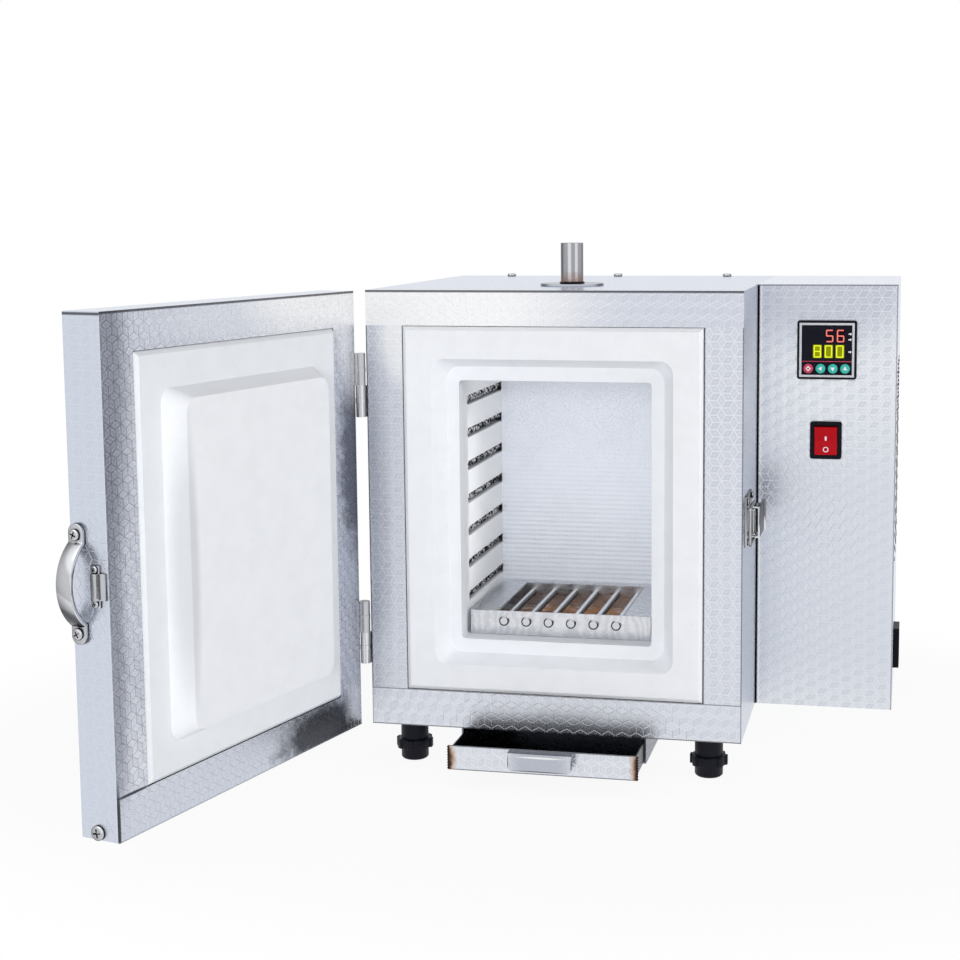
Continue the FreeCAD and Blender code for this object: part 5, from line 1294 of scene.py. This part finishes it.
@dataclass
class ControlBox:
    """Control box with its controller, switch and inlet."""

    across: float = 206.5
    controller: float = 334.2
    switch: float = 259.7
    frame_outer: float = 22.2
    frame_inner: float = 20.4
    front: float = 114.0
    glow: tuple[float, float] = (3.6, 5.4)
    button_pitch: float = 9.9
    button_drop: float = 15.2
    sunk: float = 0.2
    side: float = 263.0
    columns: int = 7
    rows: int = 16
    first_vent: tuple[float, float] = (146.0, 156.5)
    vent_pitch: tuple[float, float] = (19.0, 10.5)
    lip: tuple[float, float, float] = (0.45, 4.6, 1.0)

    def build(self) -> None:
        """Dress the box and its fittings, and make the fine pieces."""
        dress(PANEL_STEEL, "control_panel")
        dress(CASE_STEEL, "control_case", "control_side")
        dress(BLACK, "controller_housing", "switch_housing", "power_inlet", "solid_state_relay",
              "terminal_block")
        dress(WINDOW, "controller_window")
        dress(RED, "switch_rocker")
        dress(ALUMINIUM, "relay_heat_sink")
        dress(BRASS, "inlet_blades")
        self.frame_line()
        self.digits()
        self.buttons()
        self.switch_marks()
        self.louvres()

    def block(self, x: float, z: float, half_x: float, half_z: float, thick: float = 0.3) -> Piece:
        """Make a flat block on the controller's front, at a place from the bezel's middle."""
        x, z = x + self.across, z + self.controller
        return Bench.box((x - half_x, self.front - thick, z - half_z),
                         (x + half_x, self.front + self.sunk, z + half_z))

    def frame_line(self) -> None:
        """Make the pale line around the face, the line under the display and its marks."""
        ring = Bench.carve(self.block(0.0, 0.0, self.frame_outer, self.frame_outer, 0.5),
                           self.block(0.0, 0.0, self.frame_inner, self.frame_inner, 2.0))
        Bench.finish(Bench.soften(ring, 0.15), "bezel_line", "cabinet", SILVER, "bright_fittings")
        Bench.finish(Bench.soften(self.block(0.0, -9.3, 20.0, 0.28), 0.05), "display_rule", "cabinet", PINK,
                     "black_plastic")
        marks = [Bench.soften(self.block(x, z, wide, tall), 0.1)
                 for z in (13.2, 8.6, -1.4) for x, wide, tall in ((18.2, 0.9, 0.45), (19.3, 0.4, 0.9))]
        Bench.finish(Bench.merged(marks), "display_marks", "cabinet", WHITE_INK, "window_plastic")

    def digits(self) -> None:
        """Make the two lit numbers with the dim glow behind them."""
        for name, row, digits, light, dim in (
            ("measured", 11.6, ((2.2, FIVE), (11.0, SIX)), RED_LIGHT, RED_GLOW),
            ("target", -1.1, ((-7.6, EIGHT), (1.4, ZERO), (10.5, ZERO)), GREEN_LIGHT, GREEN_GLOW),
        ):
            figures, backs = [], []
            for x, without in digits:
                place = scaled((self.across + x, self.front - 0.2, self.controller + row))
                figures.append(Bench.moved(Digit(without=without).build(), Matrix.Translation(place)))
                backs.append(Bench.soften(self.block(x, row, *self.glow, 0.12), 0.8, 3))
            Bench.finish(Bench.merged(figures), f"{name}_digits", "cabinet", light, "window_plastic")
            Bench.finish(Bench.merged(backs), f"{name}_glow", "cabinet", dim, "window_plastic")

    def buttons(self) -> None:
        """Round the buttons' edges and print their symbols."""
        turns = {"left": 90.0, "down": 0.0, "up": 180.0}
        for number, label in enumerate(("set", "left", "down", "up")):
            finish, slot = (PINK, "set_button") if label == "set" else (TEAL, "arrow_button")
            across = self.across + self.button_pitch * (number - 1.5)
            if label == "set":
                mark = Bench.carve(Bench.rod((0.0, 0.0, 0.0), 2.2, 0.3, Axis.Y, 4),
                                   Bench.rod((0.0, 0.0, 0.0), 1.2, 1.0, Axis.Y, 4))
            else:
                mark = Bench.rod((0.0, 0.0, 0.0), 2.1, 0.3, Axis.Y, 3)
                Bench.moved(mark, Matrix.Rotation(math.radians(turns[label]), 4, "Y"))
            Bench.soften(mark, 0.08)
            Bench.stuck(mark, f"button_{label}", across, self.controller - self.button_drop)
            Bench.finish(mark, f"{label}_symbol", f"button_{label}", WHITE_INK, slot)
            Bench.eased(f"button_{label}", f"{label}_cap", f"button_{label}", finish, slot, 0.4, 3)

    def switch_marks(self) -> None:
        """Print the line and the circle of the rocker."""
        line = Bench.soften(Bench.box((-0.7, -0.12, -1.9), (0.7, 0.1, 1.9)), 0.2)
        circle = Bench.ring((0.0, 0.0, 0.0), 1.9, 0.42, Axis.Y, 32)
        for name, mark, rise in (("on_line", line, 1.6), ("off_circle", circle, -7.6)):
            Bench.stuck(mark, "switch_rocker", self.across, self.switch + rise)
            Bench.finish(mark, name, "rocker", WHITE_INK, "red_plastic")

    def louvres(self) -> None:
        """Press a lip out over every vent slot, near black with painted shade."""
        out, half_y, half_z = self.lip
        lips = []
        for column in range(self.columns):
            for row in range(self.rows):
                y = self.first_vent[0] + self.vent_pitch[0] * column
                z = self.first_vent[1] + self.vent_pitch[1] * (row + 0.5 * (column % 2))
                lips.append(Bench.box((self.side - self.sunk, y - half_y, z - half_z),
                                      (self.side + out, y + half_y, z + half_z)))
        lips = Bench.soften(Bench.merged(lips), 0.3)
        Bench.finish(lips, "vent_lips", "cabinet", LOUVRE_SHADE, "plain_steel")


@dataclass
class Studio:
    """Camera, lamps, pale floor and background."""

    place: Colour = (0.27913, -1.32410, 0.44892)
    yaw: float = 12.32
    down: float = 6.86
    roll: float = -0.41
    focal: float = 1744.08 * 36 / 960
    shift: tuple[float, float] = (-0.0608, -0.0620)

    def build(self) -> None:
        """Set up the studio."""
        self.camera()
        self.floor()
        self.lamps()
        self.world()

    def camera(self) -> None:
        """Put the camera where the photograph was taken from."""
        data = bpy.data.cameras.new("camera")
        camera = bpy.data.objects.new("camera", data)
        bpy.context.scene.collection.objects.link(camera)
        turn = (Matrix.Rotation(math.radians(self.yaw), 4, "Z")
                @ Matrix.Rotation(math.radians(90 - self.down), 4, "X")
                @ Matrix.Rotation(math.radians(self.roll), 4, "Z"))
        camera.matrix_world = Matrix.Translation(self.place) @ turn
        data.sensor_width = 36
        data.lens = self.focal
        data.shift_x, data.shift_y = self.shift
        data.clip_start, data.clip_end = 0.05, 50
        bpy.context.scene.camera = camera

    @staticmethod
    def seen(graph: Graph) -> Socket:
        """Tell the rays that look at the background from those that light the furnace."""
        path = graph.add("LightPath").outputs
        mirrored = graph.math("MAXIMUM", path["Is Glossy Ray"], path["Is Transmission Ray"])
        return graph.math("MAXIMUM", path["Is Camera Ray"], mirrored)

    @staticmethod
    def floor() -> None:
        """Lay a pale floor that keeps the furnace's shadow."""
        Bench.clear()
        bpy.ops.mesh.primitive_plane_add(size=9, location=(0, 1.5, -0.0002))
        plane = bpy.context.object
        plane.name = "studio_floor"
        material = bpy.data.materials.new("studio_floor")
        material.use_nodes = True
        graph = Graph(material.node_tree)
        surface = material.node_tree.nodes["Principled BSDF"]
        graph.put(surface.inputs["Base Color"], (0.95, 0.95, 0.95))
        surface.inputs["Roughness"].default_value = 0.9
        glow = graph.add("Emission")
        glow.inputs["Strength"].default_value = 1.0
        place = graph.add("TexCoord").outputs["Object"]
        near = graph.use(Halo.tree(), Place=place, Centre=(0.0, -1.4, 0.0), Reach=(0.75, 0.6, 4.0),
                         Ragged=0.0).outputs["Mask"]
        blend = graph.add("MixShader")
        graph.put(blend.inputs[0], graph.times(Studio.seen(graph), graph.fade(near, 0.0, 1.0, 1.0, 0.92)))
        graph.put(blend.inputs[1], surface.outputs[0])
        graph.put(blend.inputs[2], glow.outputs[0])
        graph.put(material.node_tree.nodes["Material Output"].inputs["Surface"], blend.outputs[0])
        plane.data.materials.append(material)

    @staticmethod
    def lamps() -> None:
        """Hang soft boxes: behind the camera, for the open door, above, and in the chamber's mouth."""
        for name, spot, aim, size, power in (
            ("front_box", (0.12, -2.3, 0.5), (0.0, 0.1, 0.22), 0.7, 22.0),
            ("door_box", (2.4, -0.6, 0.9), (-0.2, -0.15, 0.2), 1.2, 24.0),
            ("top_box", (-0.9, -1.4, 2.4), (0.0, 0.0, 0.2), 1.6, 6.0),
            ("mouth_box", (0.0, 0.036, 0.215), (0.0, 1.0, 0.2), 0.145, 0.06),
        ):
            data = bpy.data.lights.new(name, "AREA")
            data.size = size
            data.energy = power
            lamp = bpy.data.objects.new(name, data)
            bpy.context.scene.collection.objects.link(lamp)
            lamp.location = spot
            lamp.visible_glossy = name == "top_box"
            lamp.rotation_mode = "QUATERNION"
            lamp.rotation_quaternion = (Vector(aim) - Vector(spot)).to_track_quat("-Z", "Y")

    @staticmethod
    def world() -> None:
        """Surround the furnace with a pale, even room that shows as white."""
        world = bpy.data.worlds.new("studio")
        bpy.context.scene.world = world
        world.use_nodes = True
        graph = Graph(world.node_tree)
        back = world.node_tree.nodes["Background"]
        graph.put(back.inputs["Color"], (1.0, 1.0, 1.0))
        graph.put(back.inputs["Strength"], graph.fade(Studio.seen(graph), 0.0, 1.0, 0.22, 1.0))


def main() -> None:
    """Dress the frame, build the fine pieces and set up the studio."""
    logging.basicConfig(level=logging.INFO, format="%(name)s: %(message)s")
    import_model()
    bpy.context.scene.view_settings.view_transform = "Standard"
    for part in (Studio(), Cabinet(), Chamber(), Rack(), Door(), Latch(), Drawer(), Flue(), ControlBox()):
        part.build()
        LOG.info("%s done", type(part).__name__)


if __name__ == "__main__":
    main()
